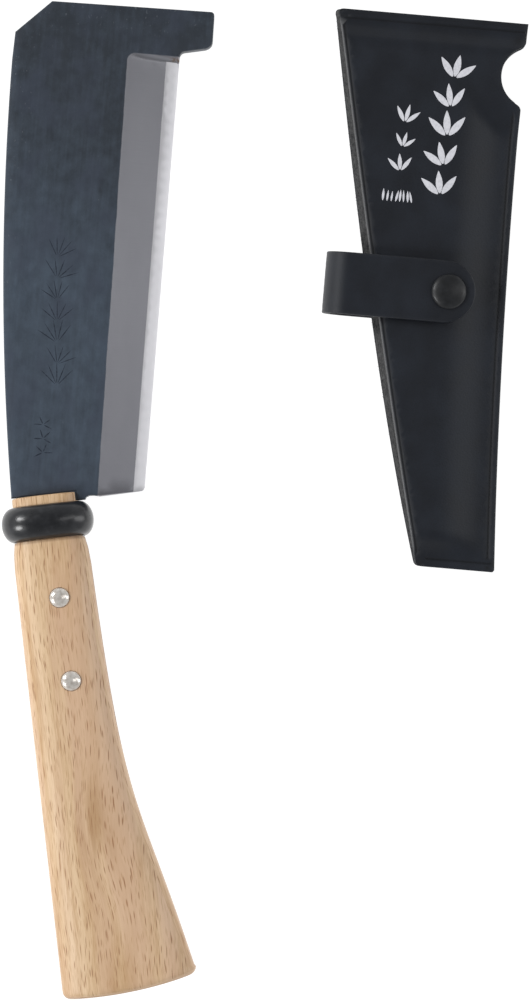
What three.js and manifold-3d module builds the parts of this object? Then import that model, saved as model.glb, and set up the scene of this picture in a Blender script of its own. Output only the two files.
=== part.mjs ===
// A beaked hatchet (a nata with a square hook at the tip of its edge) and its pouch sheath, side by side on a
// table. Millimetres, +Z up, +Y towards the blade's tip, origin at the middle of the set's footprint.
//
// The hatchet is a forged plate with a full-width tang. The tang sits in a slot that is open along the belly
// of a one-piece wooden handle, where two hollow rivets and a rolled ferrule hold it. The sheath is two vinyl
// panels with filler strips in three of their seams and an open mouth along the fourth side, where the
// blade's spine shows. A strap closes the mouth and a press stud holds the strap.

import * as THREE from 'three';
import { mergeVertices } from 'three/addons/utils/BufferGeometryUtils.js';
import Module from 'manifold-3d';

const wasm = await Module();
wasm.setup();

// ---- Driving dimensions -------------------------------------------------------------------------------

const GAP = 0.3; // kept between two pieces that touch
const DEG = Math.PI / 180;

const LEAN = 4.9; // degrees that the cutting edge leans to the right as the set is laid out
const HATCHET_PLACE = [-81.4, -7.9]; // where the ferrule's centre lies
const SHEATH_PLACE = [68.4, 77]; // where the press stud's axis lies

// The hatchet's own frame has its origin at the ferrule's centre and +Y along the cutting edge.
const BLADE_THICKNESS = 6;
const EDGE_X = { heel: 35.2, beak: 34.3 };
const EDGE_TOP = 177.6; // where the edge meets the beak
const TIP_Y = 195.2;
const BEVEL_WIDTH = { heel: 17.4, beak: 19.5 };
const HONED_WIDTH = { heel: 4.1, beak: 4.9 };
const HONED_TOP = 175.2; // the honed strip stops short of the beak
const HONED_THICKNESS = 2.2; // where the honed strip begins
const EDGE_THICKNESS = 0.3;
const CORE_THICKNESS = 0.8; // the hard steel's tongue inside the soft iron
const CORE_BACK_X = 26;

// The grip's frame shares that origin, turned so that +Y is the handle's axis.
const GRIP_ANGLE = 11.5;
const HANDLE_SPINE_X = -14.2;
const HANDLE_BELLY_X = 14.2;
const HANDLE_SHOULDER_Y = -7.9;
const HANDLE_TOP_Y = 8.8;
const BUTT_Y = -178.5;
const BUTT_X = 36.2;
const HANDLE_HALF_THICKNESS = { front: 10.5, butt: 11.8 };
const BUTT_ROUND = 2.6;
const TENON = { halfX: 12.4, halfZ: 8.9, power: 2.7 };
const TANG_THICKNESS = 5;
const TANG_BELLY_X = 11.9;
const TANG_END_Y = -86;

const FERRULE = { holeX: 12.8, holeZ: 9.2, wall: 4.6, halfLength: 6.5, centre: -1.1, power: 2.7, bulge: 2 };
const RIVETS = { front: [1.5, -30], rear: [2.3, -61.2] };
const RIVET_HEAD_RADIUS = 3.7;
const RIVET_BARREL_RADIUS = 2.5;

// The sheath's frame has its origin on the table below the press stud, with +Y along the upper seam.
const PANEL = 1.5;
const PANEL_BOTTOM = 3.1;
const MOUTH_GAP = 7.6; // between the panels where the full blade lies
const SEAM_GAP = 2.6; // between the panels at the seams
const SEAM_WIDTH = 4;
const FRONT_MOUTH_INSET = 2.3; // the back panel's lip stands out past the front panel
const SHEATH_TOP = 103;
const SHEATH_BOTTOM = -103;
const STRAP_THICKNESS = 1.8;
const STRAP_HALF_WIDTH = 11.6;
const STRAP_LEFT = -46.5;
const STRAP_END = 10;
const STRAP_BOTTOM = 1;
const FLAP_BOTTOM = 17.3;
const STRAP_RIVETS = [-14, -3];

const FERRULE_HALF_HEIGHT = FERRULE.holeZ + FERRULE.wall;
// The hatchet lies on its ferrule and on the end of its blade.
const REST_TILT = Math.asin((FERRULE_HALF_HEIGHT - BLADE_THICKNESS / 2) / TIP_Y);

// ---- Materials ----------------------------------------------------------------------------------------

const finish = (color, roughness, metalness) =>
  new THREE.MeshStandardMaterial({ color, roughness, metalness });
const blackIron = finish(0x3f474f, 0.5, 0.6);
const hardSteel = finish(0xcfcfd3, 0.3, 1);
const wood = finish(0xc9a882, 0.65, 0);
const blackLacquer = finish(0x1b1c1e, 0.25, 0.3);
const nickel = finish(0xcfc9c2, 0.2, 1);
const vinyl = finish(0x2a2d31, 0.6, 0);
const filler = finish(0x1e2023, 0.7, 0);
const blackSnap = finish(0x22252b, 0.35, 0.4);

// ---- Solids -------------------------------------------------------------------------------------------

// A closed geometry as a solid for cutting and joining.
function solid(geometry) {
  const bare = geometry.clone();
  bare.deleteAttribute('normal');
  bare.deleteAttribute('uv');
  const merged = mergeVertices(bare, 1e-4);
  return new wasm.Manifold(
    new wasm.Mesh({
      numProp: 3,
      vertProperties: new Float32Array(merged.attributes.position.array),
      triVerts: new Uint32Array(merged.index.array),
    }),
  );
}

function geometryOf(body) {
  const mesh = body.getMesh();
  const geometry = new THREE.BufferGeometry();
  geometry.setAttribute('position', new THREE.BufferAttribute(mesh.vertProperties, 3));
  geometry.setIndex(new THREE.BufferAttribute(mesh.triVerts, 1));
  return geometry;
}

function piece(name, body, material) {
  const made = new THREE.Mesh(body.isBufferGeometry ? body : geometryOf(body), material);
  made.name = name;
  return made;
}

// A flat outline given thickness from z = low to z = high.
function plate(shape, low, high, curveSegments = 12) {
  const options = { depth: high - low, bevelEnabled: false, curveSegments };
  return solid(new THREE.ExtrudeGeometry(shape, options).translate(0, 0, low));
}

// A profile in x and z given a width along Y, centred on y = 0.
function acrossY(shape, width, curveSegments = 12) {
  const options = { depth: width, bevelEnabled: false, curveSegments };
  const geometry = new THREE.ExtrudeGeometry(shape, options);
  return solid(geometry.rotateX(Math.PI / 2).translate(0, width / 2, 0));
}

// A turned piece: the profile's points are [radius, z] from the lowest point on the axis to the highest.
function turned(profile, x, y, segments = 24) {
  const points = profile.map(([radius, z]) => new THREE.Vector2(radius, z));
  return solid(new THREE.LatheGeometry(points, segments).rotateX(Math.PI / 2).translate(x, y, 0));
}

// A cutter for a round hole right through whatever lies at x and y.
const bore = (radius, x, y) => turned([[0, -50], [radius, -50], [radius, 50], [0, 50]], x, y);

// The upper quarter of a dome from its rim to the axis, as profile points.
function dome(radius, rimZ, height, steps = 5) {
  return Array.from({ length: steps + 1 }, (_, i) => {
    const angle = (i / steps) * (Math.PI / 2);
    return [i === steps ? 0 : radius * Math.cos(angle), rimZ + height * Math.sin(angle)];
  });
}

// A closed body through rings of equal length, each turning about the way they travel. With ends, the first
// and last rings are closed by a ladder of quads between their halves. Without, the last joins the first.
function loft(rings, ends = true) {
  const count = rings[0].length;
  const vertices = rings.flat(2);
  const index = [];
  const quad = (a, b, c, d) => index.push(a, b, c, a, c, d);
  const at = (ring, i) => (ring % rings.length) * count + (i % count);
  const spans = ends ? rings.length - 1 : rings.length;
  for (let ring = 0; ring < spans; ring++)
    for (let i = 0; i < count; i++)
      quad(at(ring, i), at(ring, i + 1), at(ring + 1, i + 1), at(ring + 1, i));
  const last = rings.length - 1;
  for (let i = 0; ends && i < count / 2 - 1; i++) {
    const j = count - 1 - i;
    quad(at(last, i), at(last, i + 1), at(last, j - 1), at(last, j));
    quad(at(0, j), at(0, j - 1), at(0, i + 1), at(0, i));
  }
  const geometry = new THREE.BufferGeometry();
  geometry.setAttribute('position', new THREE.Float32BufferAttribute(vertices, 3));
  geometry.setIndex(index);
  return solid(geometry);
}

// A point of a rounded oval, as [x, z].
function oval(angle, halfX, halfZ, power) {
  const round = (value) => Math.sign(value) * Math.abs(value) ** (2 / power);
  return [halfX * round(Math.cos(angle)), halfZ * round(Math.sin(angle))];
}

const lerp = THREE.MathUtils.lerp;
const smooth = (value) => THREE.MathUtils.smoothstep(value, 0, 1);

// A big block resting on the plane through three points, on the side that +Z (side 1) or -Z (side -1) is.
function blockOnPlane([a, b, c], side) {
  const size = 400;
  const normal = b.clone().sub(a).cross(c.clone().sub(a)).normalize();
  if (normal.z * side < 0) normal.negate();
  const along = b.clone().sub(a).normalize();
  const across = normal.clone().cross(along);
  const place = new THREE.Matrix4().makeBasis(along, across, normal).setPosition(a);
  return solid(new THREE.BoxGeometry(size, size, size).translate(0, 0, size / 2).applyMatrix4(place));
}

// ---- Blade --------------------------------------------------------------------------------------------

// A point of the grip's frame in the hatchet's frame.
function fromGrip(x, y) {
  const turn = GRIP_ANGLE * DEG;
  return [x * Math.cos(turn) - y * Math.sin(turn), x * Math.sin(turn) + y * Math.cos(turn)];
}

// A measure that runs evenly from the heel to the beak, at a height along the edge.
const measureAt = ({ heel, beak }, y) => lerp(heel, beak, (y - 11) / 160);
const edgeX = (y) => measureAt(EDGE_X, y);

function bladeOutline() {
  const shape = new THREE.Shape();
  shape.moveTo(...fromGrip(-12.6, 9.3));
  shape.lineTo(...fromGrip(11.9, 9.3));
  shape.lineTo(...fromGrip(11.9, 5.7));
  shape.lineTo(...fromGrip(14.9, 5.7));
  shape.quadraticCurveTo(...fromGrip(15.4, 8), 18.8, 10.3);
  shape.lineTo(33.6, 13.4);
  shape.quadraticCurveTo(edgeX(15.4), 13.8, edgeX(15.4), 15.4);
  shape.lineTo(edgeX(EDGE_TOP), EDGE_TOP);
  shape.quadraticCurveTo(34.6, 179.2, 36, 179.5);
  shape.lineTo(43.4, 181.1);
  shape.quadraticCurveTo(46, 181.9, 46.1, 184.2);
  shape.lineTo(45.9, TIP_Y - 1.4);
  shape.quadraticCurveTo(45.8, TIP_Y, 44.4, TIP_Y);
  shape.lineTo(-15.6, TIP_Y - 1);
  shape.lineTo(-28.1, 181.2);
  shape.lineTo(-28.3, 171);
  shape.quadraticCurveTo(-27.5, 88, -14.1, 7);
  return shape;
}

function tangOutline() {
  const corners = [
    [-9.5, 12],
    [-9.5, -8],
    [-1, TANG_END_Y],
    [TANG_BELLY_X, TANG_END_Y + 3],
    [TANG_BELLY_X, 12],
  ];
  return new THREE.Shape(corners.map(([x, y]) => new THREE.Vector2(...fromGrip(x, y))));
}

// The ground bevel's area seen from the face, with the wheel's round corner under the beak.
function bevelArea() {
  const corner = 3;
  const top = EDGE_TOP - 0.2;
  const left = (y) => edgeX(y) - measureAt(BEVEL_WIDTH, y);
  const shape = new THREE.Shape();
  shape.moveTo(left(-20), -20);
  shape.lineTo(70, -20);
  shape.lineTo(70, top);
  shape.lineTo(left(top) + corner, top);
  shape.quadraticCurveTo(left(top), top, left(top - corner), top - corner);
  return shape;
}

// Everything on the edge's side of a line that runs beside it at the given width, up to a height.
function edgeArea(width, inset, top) {
  const left = (y) => (typeof width === 'number' ? width : edgeX(y) - measureAt(width, y)) + inset;
  const corners = [
    [left(-20), -20],
    [70, -20],
    [70, top],
    [left(top), top],
  ];
  return new THREE.Shape(corners.map(([x, y]) => new THREE.Vector2(x, y)));
}

// Three points of a ground face, from its inner line at one height to its outer line at another.
function groundFace(inner, innerZ, outer, outerZ, side) {
  const on = (width, y, z) => new THREE.Vector3(edgeX(y) - measureAt(width, y), y, side * z);
  return [on(inner, 11, innerZ), on(inner, 171, innerZ), on(outer, 11, outerZ)];
}

function blade() {
  const half = BLADE_THICKNESS / 2;
  const edgeLine = { heel: 0, beak: 0 };
  const stock = plate(bladeOutline(), -half, half, 16);
  const tang = plate(tangOutline(), -TANG_THICKNESS / 2, TANG_THICKNESS / 2);
  let body = stock.add(tang);
  for (const { at } of rivetPlaces())
    body = body.subtract(bore(RIVET_BARREL_RADIUS + GAP, ...fromGrip(...at)));

  const bevel = plate(bevelArea(), -9, 9);
  for (const side of [1, -1]) {
    const face = groundFace(BEVEL_WIDTH, half, HONED_WIDTH, HONED_THICKNESS / 2, side);
    body = body.subtract(bevel.intersect(blockOnPlane(face, side)));
  }

  const honedArea = plate(edgeArea(HONED_WIDTH, GAP / 2, HONED_TOP - GAP), -9, 9);
  const tongueHalf = CORE_THICKNESS / 2;
  const tongueArea = plate(edgeArea(CORE_BACK_X, 0, HONED_TOP - GAP), -tongueHalf, tongueHalf);
  let core = stock.intersect(honedArea.add(tongueArea));
  for (const side of [1, -1]) {
    const face = groundFace(HONED_WIDTH, HONED_THICKNESS / 2, edgeLine, EDGE_THICKNESS / 2, side);
    core = core.subtract(blockOnPlane(face, side));
  }

  const slotHalf = CORE_THICKNESS / 2 + GAP;
  const room = plate(edgeArea(HONED_WIDTH, -GAP / 2, HONED_TOP), -9, 9);
  const slot = plate(edgeArea(CORE_BACK_X, -GAP, HONED_TOP), -slotHalf, slotHalf);
  return { body: body.subtract(room).subtract(slot), core };
}

// ---- Handle, ferrule and rivets -----------------------------------------------------------------------

const bellyCurve = new THREE.CubicBezierCurve(
  new THREE.Vector2(HANDLE_BELLY_X, HANDLE_SHOULDER_Y),
  new THREE.Vector2(16.5, -117),
  new THREE.Vector2(21.3, -99),
  new THREE.Vector2(BUTT_X, -175),
);

// The butt end is a shallow arc across the handle.
const buttY = (x) => BUTT_Y + 0.0032 * (x + 2) ** 2;

// A ring of the handle: station 0 is the shoulder and 1 the butt, and inset rounds its last few rings.
function handleRing(station, inset = 0, back = 0) {
  const belly = bellyCurve.getPoint(station);
  const share = (HANDLE_SHOULDER_Y - belly.y) / (HANDLE_SHOULDER_Y + 175);
  const halfX = (belly.x - HANDLE_SPINE_X) / 2 - inset;
  const halfZ = lerp(HANDLE_HALF_THICKNESS.front, HANDLE_HALF_THICKNESS.butt, share) - inset;
  const middle = (belly.x + HANDLE_SPINE_X) / 2;
  const count = 36;
  return Array.from({ length: count }, (_, i) => {
    const [x, z] = oval(((i + 0.5) / count) * 2 * Math.PI, halfX, halfZ, 3);
    const y = lerp(HANDLE_SHOULDER_Y, buttY(middle + x) + back, share);
    return [middle + x, y, z];
  });
}

function handle() {
  const stations = 18;
  const rounds = 3;
  const rings = [];
  for (let i = 0; i <= stations; i++)
    rings.push(handleRing((i / stations) * 0.985));
  for (let i = 1; i <= rounds; i++) {
    const angle = (i / rounds) * (Math.PI / 2);
    rings.push(handleRing(1, BUTT_ROUND * (1 - Math.cos(angle)), BUTT_ROUND * (1 - Math.sin(angle))));
  }
  const grip = loft(rings);

  const tenonRing = (y, trim = 0) =>
    Array.from({ length: 36 }, (_, i) => {
      const angle = ((i + 0.5) / 36) * 2 * Math.PI;
      const [x, z] = oval(angle, TENON.halfX - trim, TENON.halfZ - trim, TENON.power);
      return [x, y, z];
    });
  const tenonTop = [tenonRing(HANDLE_TOP_Y, 0.5), tenonRing(HANDLE_TOP_Y - 0.5)];
  const tenon = loft([...tenonTop, tenonRing(HANDLE_SHOULDER_Y - 3)]);

  // The slot follows the tang and runs out through the belly. The tongue is cut back where the neck shows.
  const slotCorners = [
    [-9.5 - GAP, 20],
    [-9.5 - GAP, -8],
    [-1 - GAP, TANG_END_Y - GAP],
    [60, TANG_END_Y - GAP],
    [60, 20],
  ];
  const slotShape = new THREE.Shape(slotCorners.map(([x, y]) => new THREE.Vector2(x, y)));
  const slotHalf = TANG_THICKNESS / 2 + GAP;
  const slot = plate(slotShape, -slotHalf, slotHalf);
  const neckBlock = new THREE.BoxGeometry(20, 20, 40);
  const neckRoom = solid(neckBlock.translate(11.3 + 10, FERRULE.centre + FERRULE.halfLength + 10, 0));

  let body = grip.add(tenon).subtract(slot).subtract(neckRoom);
  for (const { at, faceZ } of rivetPlaces()) {
    const seat = faceZ - 0.8;
    const wide = RIVET_HEAD_RADIUS + GAP;
    const barrel = RIVET_BARREL_RADIUS + GAP;
    const sides = [[wide, -20], [wide, -seat], [barrel, -seat], [barrel, seat], [wide, seat], [wide, 20]];
    body = body.subtract(turned([[0, -20], ...sides, [0, 20]], ...at));
  }
  return body;
}

// Each rivet's place in the grip's frame and the height of the wood's face there.
function rivetPlaces() {
  return Object.entries(RIVETS).map(([name, at]) => {
    const share = (at[1] - HANDLE_SHOULDER_Y) / (BUTT_Y - HANDLE_SHOULDER_Y);
    return { name, at, faceZ: lerp(HANDLE_HALF_THICKNESS.front, HANDLE_HALF_THICKNESS.butt, share) };
  });
}

function rivetPost(at, faceZ) {
  const under = faceZ - 0.8 + GAP;
  const shank = 1.6;
  const head = [[RIVET_HEAD_RADIUS, under], ...dome(RIVET_HEAD_RADIUS, faceZ + 0.1, 1.5)];
  return turned([[0, -4], [shank, -4], [shank, under], ...head], ...at);
}

function rivetBarrel(at, faceZ) {
  const under = faceZ - 0.8 + GAP;
  const hollow = 1.6 + GAP;
  const head = dome(RIVET_HEAD_RADIUS, faceZ + 0.1, 1.5).map(([radius, z]) => [radius, -z]);
  const profile = [
    ...head.reverse(),
    [RIVET_HEAD_RADIUS, -under],
    [RIVET_BARREL_RADIUS, -under],
    [RIVET_BARREL_RADIUS, 4],
    [hollow, 4],
    [hollow, -4 - 2 * GAP],
    [0, -4 - 2 * GAP],
  ];
  return turned(profile, ...at);
}

// A rolled ring: a straight oval hole and a wall that bulges outwards along its length.
function ferrule() {
  const around = 44;
  const steps = 10;
  const { holeX, holeZ, wall, halfLength, centre, power, bulge } = FERRULE;
  const profile = [[0, halfLength]];
  for (let i = 0; i <= steps; i++) {
    const angle = (0.06 + 0.88 * (i / steps)) * Math.PI;
    const [along, out] = oval(angle, halfLength, wall, bulge);
    profile.push([out, along]);
  }
  profile.push([0, -halfLength]);
  const rings = Array.from({ length: around }, (_, i) => {
    const angle = (i / around) * 2 * Math.PI;
    return profile.map(([out, along]) => {
      const [x, z] = oval(angle, holeX + out, holeZ + out, power);
      return [x, centre + along, z];
    });
  });
  return loft(rings.reverse(), false);
}

// ---- Sheath -------------------------------------------------------------------------------------------

const SEAM_TOP = 70; // below the beak's window
const mouthCurve = (inset) =>
  new THREE.QuadraticBezierCurve(
    new THREE.Vector2(-51 + 0.5 * inset, SHEATH_TOP),
    new THREE.Vector2(-26.6 + 1.8 * inset, -28.8),
    new THREE.Vector2(-3.7 + 0.2 * inset, SHEATH_BOTTOM),
  );
const seamCurve = (inset) =>
  new THREE.QuadraticBezierCurve(
    new THREE.Vector2(21.2 - inset, SEAM_TOP),
    new THREE.Vector2(20.9 - inset, -20),
    new THREE.Vector2(26.3 - inset, SHEATH_BOTTOM + 0.8),
  );
const BEAK_NOTCH = { x: 24.5, y: 82.9, radius: 11.6 };

// A panel's outline, with the round window that the beak looks out of.
function panelOutline(mouthInset) {
  const round = 2;
  const mouth = mouthCurve(mouthInset).getPoints(16);
  const seam = seamCurve(0).getPoints(12).reverse();
  const shape = new THREE.Shape();
  shape.moveTo(mouth[16].x + round, SHEATH_BOTTOM);
  seam.forEach((point) => shape.lineTo(point.x, point.y));
  shape.quadraticCurveTo(21.1, 71.5, 19.1, 72.4);
  shape.absarc(BEAK_NOTCH.x, BEAK_NOTCH.y, BEAK_NOTCH.radius, 242 * DEG, 118 * DEG, true);
  shape.quadraticCurveTo(21.3, 94.2, 21.3, 96);
  shape.lineTo(21.6, SHEATH_TOP);
  shape.lineTo(mouth[0].x + round, SHEATH_TOP);
  shape.quadraticCurveTo(mouth[0].x, SHEATH_TOP, mouth[0].x + 0.2, SHEATH_TOP - round);
  mouth.slice(1, 16).forEach((point) => shape.lineTo(point.x, point.y));
  shape.quadraticCurveTo(mouth[16].x, SHEATH_BOTTOM, mouth[16].x + round, SHEATH_BOTTOM);
  return shape;
}

const seamShare = (y) => (SEAM_TOP - y) / (SEAM_TOP - SHEATH_BOTTOM);
const seamX = (y) => (y > SEAM_TOP ? 21.2 : seamCurve(0).getPoint(seamShare(y)).x);

// The free height between the panels: full over the blade's flat and the beak, and small at the seams.
function cavity(x, y) {
  const fromSeam = (seamX(y) - x - SEAM_WIDTH) / 11.5;
  const beside = Math.max(smooth(fromSeam), smooth((y - 62) / 10));
  const below = smooth((SHEATH_TOP - SEAM_WIDTH - y) / 8);
  const above = smooth((y - SHEATH_BOTTOM - SEAM_WIDTH) / 8);
  return SEAM_GAP + (MOUTH_GAP - SEAM_GAP) * beside * below * above;
}

function backPanel() {
  return pierce(plate(panelOutline(0), PANEL_BOTTOM, PANEL_BOTTOM + PANEL), STRAP_RIVETS, 1.5 + GAP);
}

function frontPanel() {
  const columns = 12;
  const rows = 30;
  const inner = PANEL_BOTTOM + PANEL;
  const rings = [];
  for (let row = 0; row <= rows; row++) {
    const y = lerp(SHEATH_BOTTOM - 1, SHEATH_TOP + 1, row / rows);
    const share = (SHEATH_TOP - y) / (SHEATH_TOP - SHEATH_BOTTOM);
    const left = mouthCurve(0).getPoint(THREE.MathUtils.clamp(share, 0, 1)).x - 1;
    const line = Array.from({ length: columns + 1 }, (_, i) => {
      const x = lerp(28, left, i / columns);
      return [x, y, inner + cavity(x, y)];
    });
    const top = line.map(([x, , z]) => [x, y, z + PANEL]).reverse();
    rings.push([...line, ...top]);
  }
  const sheet = loft(rings).intersect(plate(panelOutline(FRONT_MOUTH_INSET), 0, 40));
  return pierce(sheet, [0], 1.5 + 1.3 * GAP);
}

// A panel or strap with round holes on the strap's centre line.
function pierce(body, places, radius) {
  return places.reduce((left, x) => left.subtract(bore(radius, x, 0)), body);
}

function seamStrips() {
  const low = PANEL_BOTTOM + PANEL + GAP;
  const high = PANEL_BOTTOM + PANEL + SEAM_GAP - GAP;
  const outer = seamCurve(0.7).getPoints(12);
  const inner = seamCurve(SEAM_WIDTH - 0.3).getPoints(12).reverse();
  const edge = new THREE.Shape([...outer, ...inner]);
  const bar = (left, right, bottom, top) =>
    new THREE.Shape([
      new THREE.Vector2(left, bottom),
      new THREE.Vector2(right, bottom),
      new THREE.Vector2(right, top),
      new THREE.Vector2(left, top),
    ]);
  const inside = solid(new THREE.BoxGeometry(200, 2 * (-SHEATH_BOTTOM - 5), 40));
  return {
    edge: plate(edge, low, high).intersect(inside),
    top: plate(bar(-45, 20, SHEATH_TOP - 3.6, SHEATH_TOP - 0.7), low, high),
    bottom: plate(bar(0.5, 24.6, SHEATH_BOTTOM + 0.9, SHEATH_BOTTOM + 3.8), low, high),
  };
}

// ---- Strap and its fasteners --------------------------------------------------------------------------

const BEND_OUTER = (FLAP_BOTTOM + STRAP_THICKNESS - STRAP_BOTTOM) / 2;
const BEND = { x: STRAP_LEFT + BEND_OUTER, z: STRAP_BOTTOM + BEND_OUTER };
const HINGE_Z = FLAP_BOTTOM + STRAP_THICKNESS / 2;

// The fixed run behind the sheath and the bend round its mouth, up to the part of the bend that flexes.
function strapBack() {
  const flex = 114 * DEG;
  const inner = BEND_OUTER - STRAP_THICKNESS;
  const shape = new THREE.Shape();
  shape.moveTo(4, STRAP_BOTTOM);
  shape.lineTo(4, STRAP_BOTTOM + STRAP_THICKNESS);
  shape.lineTo(BEND.x, STRAP_BOTTOM + STRAP_THICKNESS);
  shape.absarc(BEND.x, BEND.z, inner, -90 * DEG, flex - 360 * DEG, true);
  shape.absarc(BEND.x, BEND.z, BEND_OUTER, flex, 270 * DEG, false);
  return pierce(acrossY(shape, 2 * STRAP_HALF_WIDTH), STRAP_RIVETS, 1.5 + GAP);
}

// The flap that the stud holds. Its left end is round about the hinge's axis.
function strapFlap() {
  const half = STRAP_THICKNESS / 2;
  const profile = new THREE.Shape();
  profile.moveTo(STRAP_END + 5, HINGE_Z - half);
  profile.lineTo(STRAP_END + 5, HINGE_Z + half);
  profile.lineTo(BEND.x, HINGE_Z + half);
  profile.absarc(BEND.x, HINGE_Z, half, 90 * DEG, 270 * DEG, false);
  const plan = new THREE.Shape();
  const roundX = STRAP_END - STRAP_HALF_WIDTH;
  plan.moveTo(-60, STRAP_HALF_WIDTH);
  plan.lineTo(-60, -STRAP_HALF_WIDTH);
  plan.absarc(roundX, 0, STRAP_HALF_WIDTH, -90 * DEG, 90 * DEG, false);
  return pierce(acrossY(profile, 40, 8).intersect(plate(plan, 0, 40)), [0], 1.7 + GAP);
}

// The press stud's four pieces: the domed cap and the socket on the flap, the stud and post on the panel.
function pressStud() {
  const panelTop = PANEL_BOTTOM + PANEL + MOUTH_GAP + PANEL;
  const panelUnder = panelTop - PANEL;
  const flapTop = FLAP_BOTTOM + STRAP_THICKNESS;
  const studBase = panelTop + GAP;
  const studTop = studBase + 2.1;
  const socketTop = FLAP_BOTTOM - GAP;
  const socketBottom = socketTop - 2.3;
  const shankEnd = studTop + GAP;
  const capLow = flapTop + GAP;
  const shank = [[0, shankEnd], [1.7, shankEnd], [1.7, capLow], [6.1, capLow]];
  const cap = [...shank, ...dome(6.5, flapTop + 0.9, 1.7)];
  const socket = [
    [2, socketTop],
    [2, socketTop - 0.6],
    [3.5, socketTop - 0.6],
    [3.5, socketBottom],
    [4.8, socketBottom],
    [5.2, socketBottom + 0.5],
    [5.2, socketTop],
    [2, socketTop],
  ];
  const stud = [
    [1.9, studBase],
    [5, studBase],
    [4.8, studBase + 0.5],
    [2.6, studBase + 0.5],
    [2.9, studBase + 1.5],
    ...dome(2.9, studBase + 1.5, 0.6, 3),
    [0, studTop - 0.6],
    [1.9, studTop - 0.6],
    [1.9, studBase],
  ];
  const post = [
    [0, panelUnder - 1],
    [4.5, panelUnder - 1],
    [4.5, panelUnder - GAP],
    [1.5, panelUnder - GAP],
    [1.5, studTop - 1],
    [0, studTop - 1],
  ];
  const make = (profile) => turned(profile, 0, 0, 28);
  return { cap: make(cap), socket: make(socket), stud: make(stud), post: make(post) };
}

// A strap rivet's head lies below the strap and its washer inside the sheath.
function strapRivet(x) {
  const inside = PANEL_BOTTOM + PANEL;
  const head = STRAP_BOTTOM - GAP;
  const low = inside + GAP;
  const high = inside + 0.8;
  const shank = [[1.5, head], [1.5, high + 0.2], [0, high + 0.2]];
  return {
    rivet: turned([[0, 0], [3.2, 0], [4, 0.35], [4, head], ...shank], x, 0),
    washer: turned([[1.8, low], [3.8, low], [3.6, high], [1.8, high], [1.8, low]], x, 0),
  };
}

// ---- Assembly -----------------------------------------------------------------------------------------

const grip = new THREE.Group();
grip.rotation.z = GRIP_ANGLE * DEG;
grip.add(piece('handle', handle(), wood), piece('ferrule', ferrule(), blackLacquer));
for (const { name, at, faceZ } of rivetPlaces()) {
  grip.add(piece(`rivet_${name}_post`, rivetPost(at, faceZ), nickel));
  grip.add(piece(`rivet_${name}_barrel`, rivetBarrel(at, faceZ), nickel));
}

const { body: ironBody, core } = blade();
const hatchet = new THREE.Group();
hatchet.rotation.order = 'ZXY';
hatchet.rotation.set(-REST_TILT, 0, -LEAN * DEG);
hatchet.position.set(...HATCHET_PLACE, FERRULE_HALF_HEIGHT);
hatchet.add(piece('blade_body', ironBody, blackIron), piece('blade_edge_steel', core, hardSteel), grip);

const sheath = new THREE.Group();
sheath.rotation.z = -LEAN * DEG;
sheath.position.set(...SHEATH_PLACE, 0);
const strips = seamStrips();
const snap = pressStud();
sheath.add(
  piece('sheath_back_panel', backPanel(), vinyl),
  piece('sheath_front_panel', frontPanel(), vinyl),
  piece('seam_strip_edge', strips.edge, filler),
  piece('seam_strip_top', strips.top, filler),
  piece('seam_strip_bottom', strips.bottom, filler),
  piece('strap_back', strapBack(), vinyl),
  piece('strap_flap', strapFlap(), vinyl),
  piece('snap_cap', snap.cap, blackSnap),
  piece('snap_socket', snap.socket, nickel),
  piece('snap_stud', snap.stud, nickel),
  piece('snap_post', snap.post, nickel),
);
STRAP_RIVETS.forEach((x, i) => {
  const { rivet, washer } = strapRivet(x);
  sheath.add(piece(`strap_rivet_${i + 1}`, rivet, blackSnap));
  sheath.add(piece(`strap_washer_${i + 1}`, washer, nickel));
});

// The origin is the middle of the footprint, on the table.
const set = new THREE.Group();
set.add(hatchet, sheath);
const bounds = new THREE.Box3().setFromObject(set, true);
const centre = bounds.getCenter(new THREE.Vector3());
set.position.set(-centre.x, -centre.y, -bounds.min.z);

export default set;
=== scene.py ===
"""A beaked hatchet and its pouch sheath, lying on a pale table under soft studio light.

Sizes are in millimetres in three local frames: the hatchet's, with +Y from the heel towards the beak, its
grip's, with +Y along the handle, and the sheath's, with +Y towards its top. Meshes are placed in metres.
"""

from __future__ import annotations

import logging
import math
from collections.abc import Callable, Iterable, Sequence
from dataclasses import dataclass, field
from enum import Enum

import bmesh
import bpy
from mathutils import Matrix, Vector
from mathutils.geometry import delaunay_2d_cdt, intersect_point_line

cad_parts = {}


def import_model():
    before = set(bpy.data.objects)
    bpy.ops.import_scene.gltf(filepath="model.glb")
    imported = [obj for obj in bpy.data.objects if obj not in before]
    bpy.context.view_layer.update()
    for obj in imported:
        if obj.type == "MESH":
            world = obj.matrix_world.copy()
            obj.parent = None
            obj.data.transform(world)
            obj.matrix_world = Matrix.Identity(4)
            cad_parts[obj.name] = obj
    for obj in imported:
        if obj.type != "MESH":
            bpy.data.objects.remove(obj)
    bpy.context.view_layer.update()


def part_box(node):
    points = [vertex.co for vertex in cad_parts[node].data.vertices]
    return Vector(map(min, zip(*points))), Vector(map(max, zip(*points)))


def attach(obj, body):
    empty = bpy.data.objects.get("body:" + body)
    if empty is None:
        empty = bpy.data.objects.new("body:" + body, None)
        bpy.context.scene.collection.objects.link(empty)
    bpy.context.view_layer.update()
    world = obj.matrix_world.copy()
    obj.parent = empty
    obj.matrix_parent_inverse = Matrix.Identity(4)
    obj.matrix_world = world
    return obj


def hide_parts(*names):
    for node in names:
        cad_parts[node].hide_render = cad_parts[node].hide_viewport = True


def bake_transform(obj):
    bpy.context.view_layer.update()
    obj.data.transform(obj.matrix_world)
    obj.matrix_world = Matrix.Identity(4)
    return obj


Point = tuple[float, float]
Spot = tuple[float, float, float]
Colour = tuple[float, float, float, float]
Height = Callable[[float, float], float]

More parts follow.
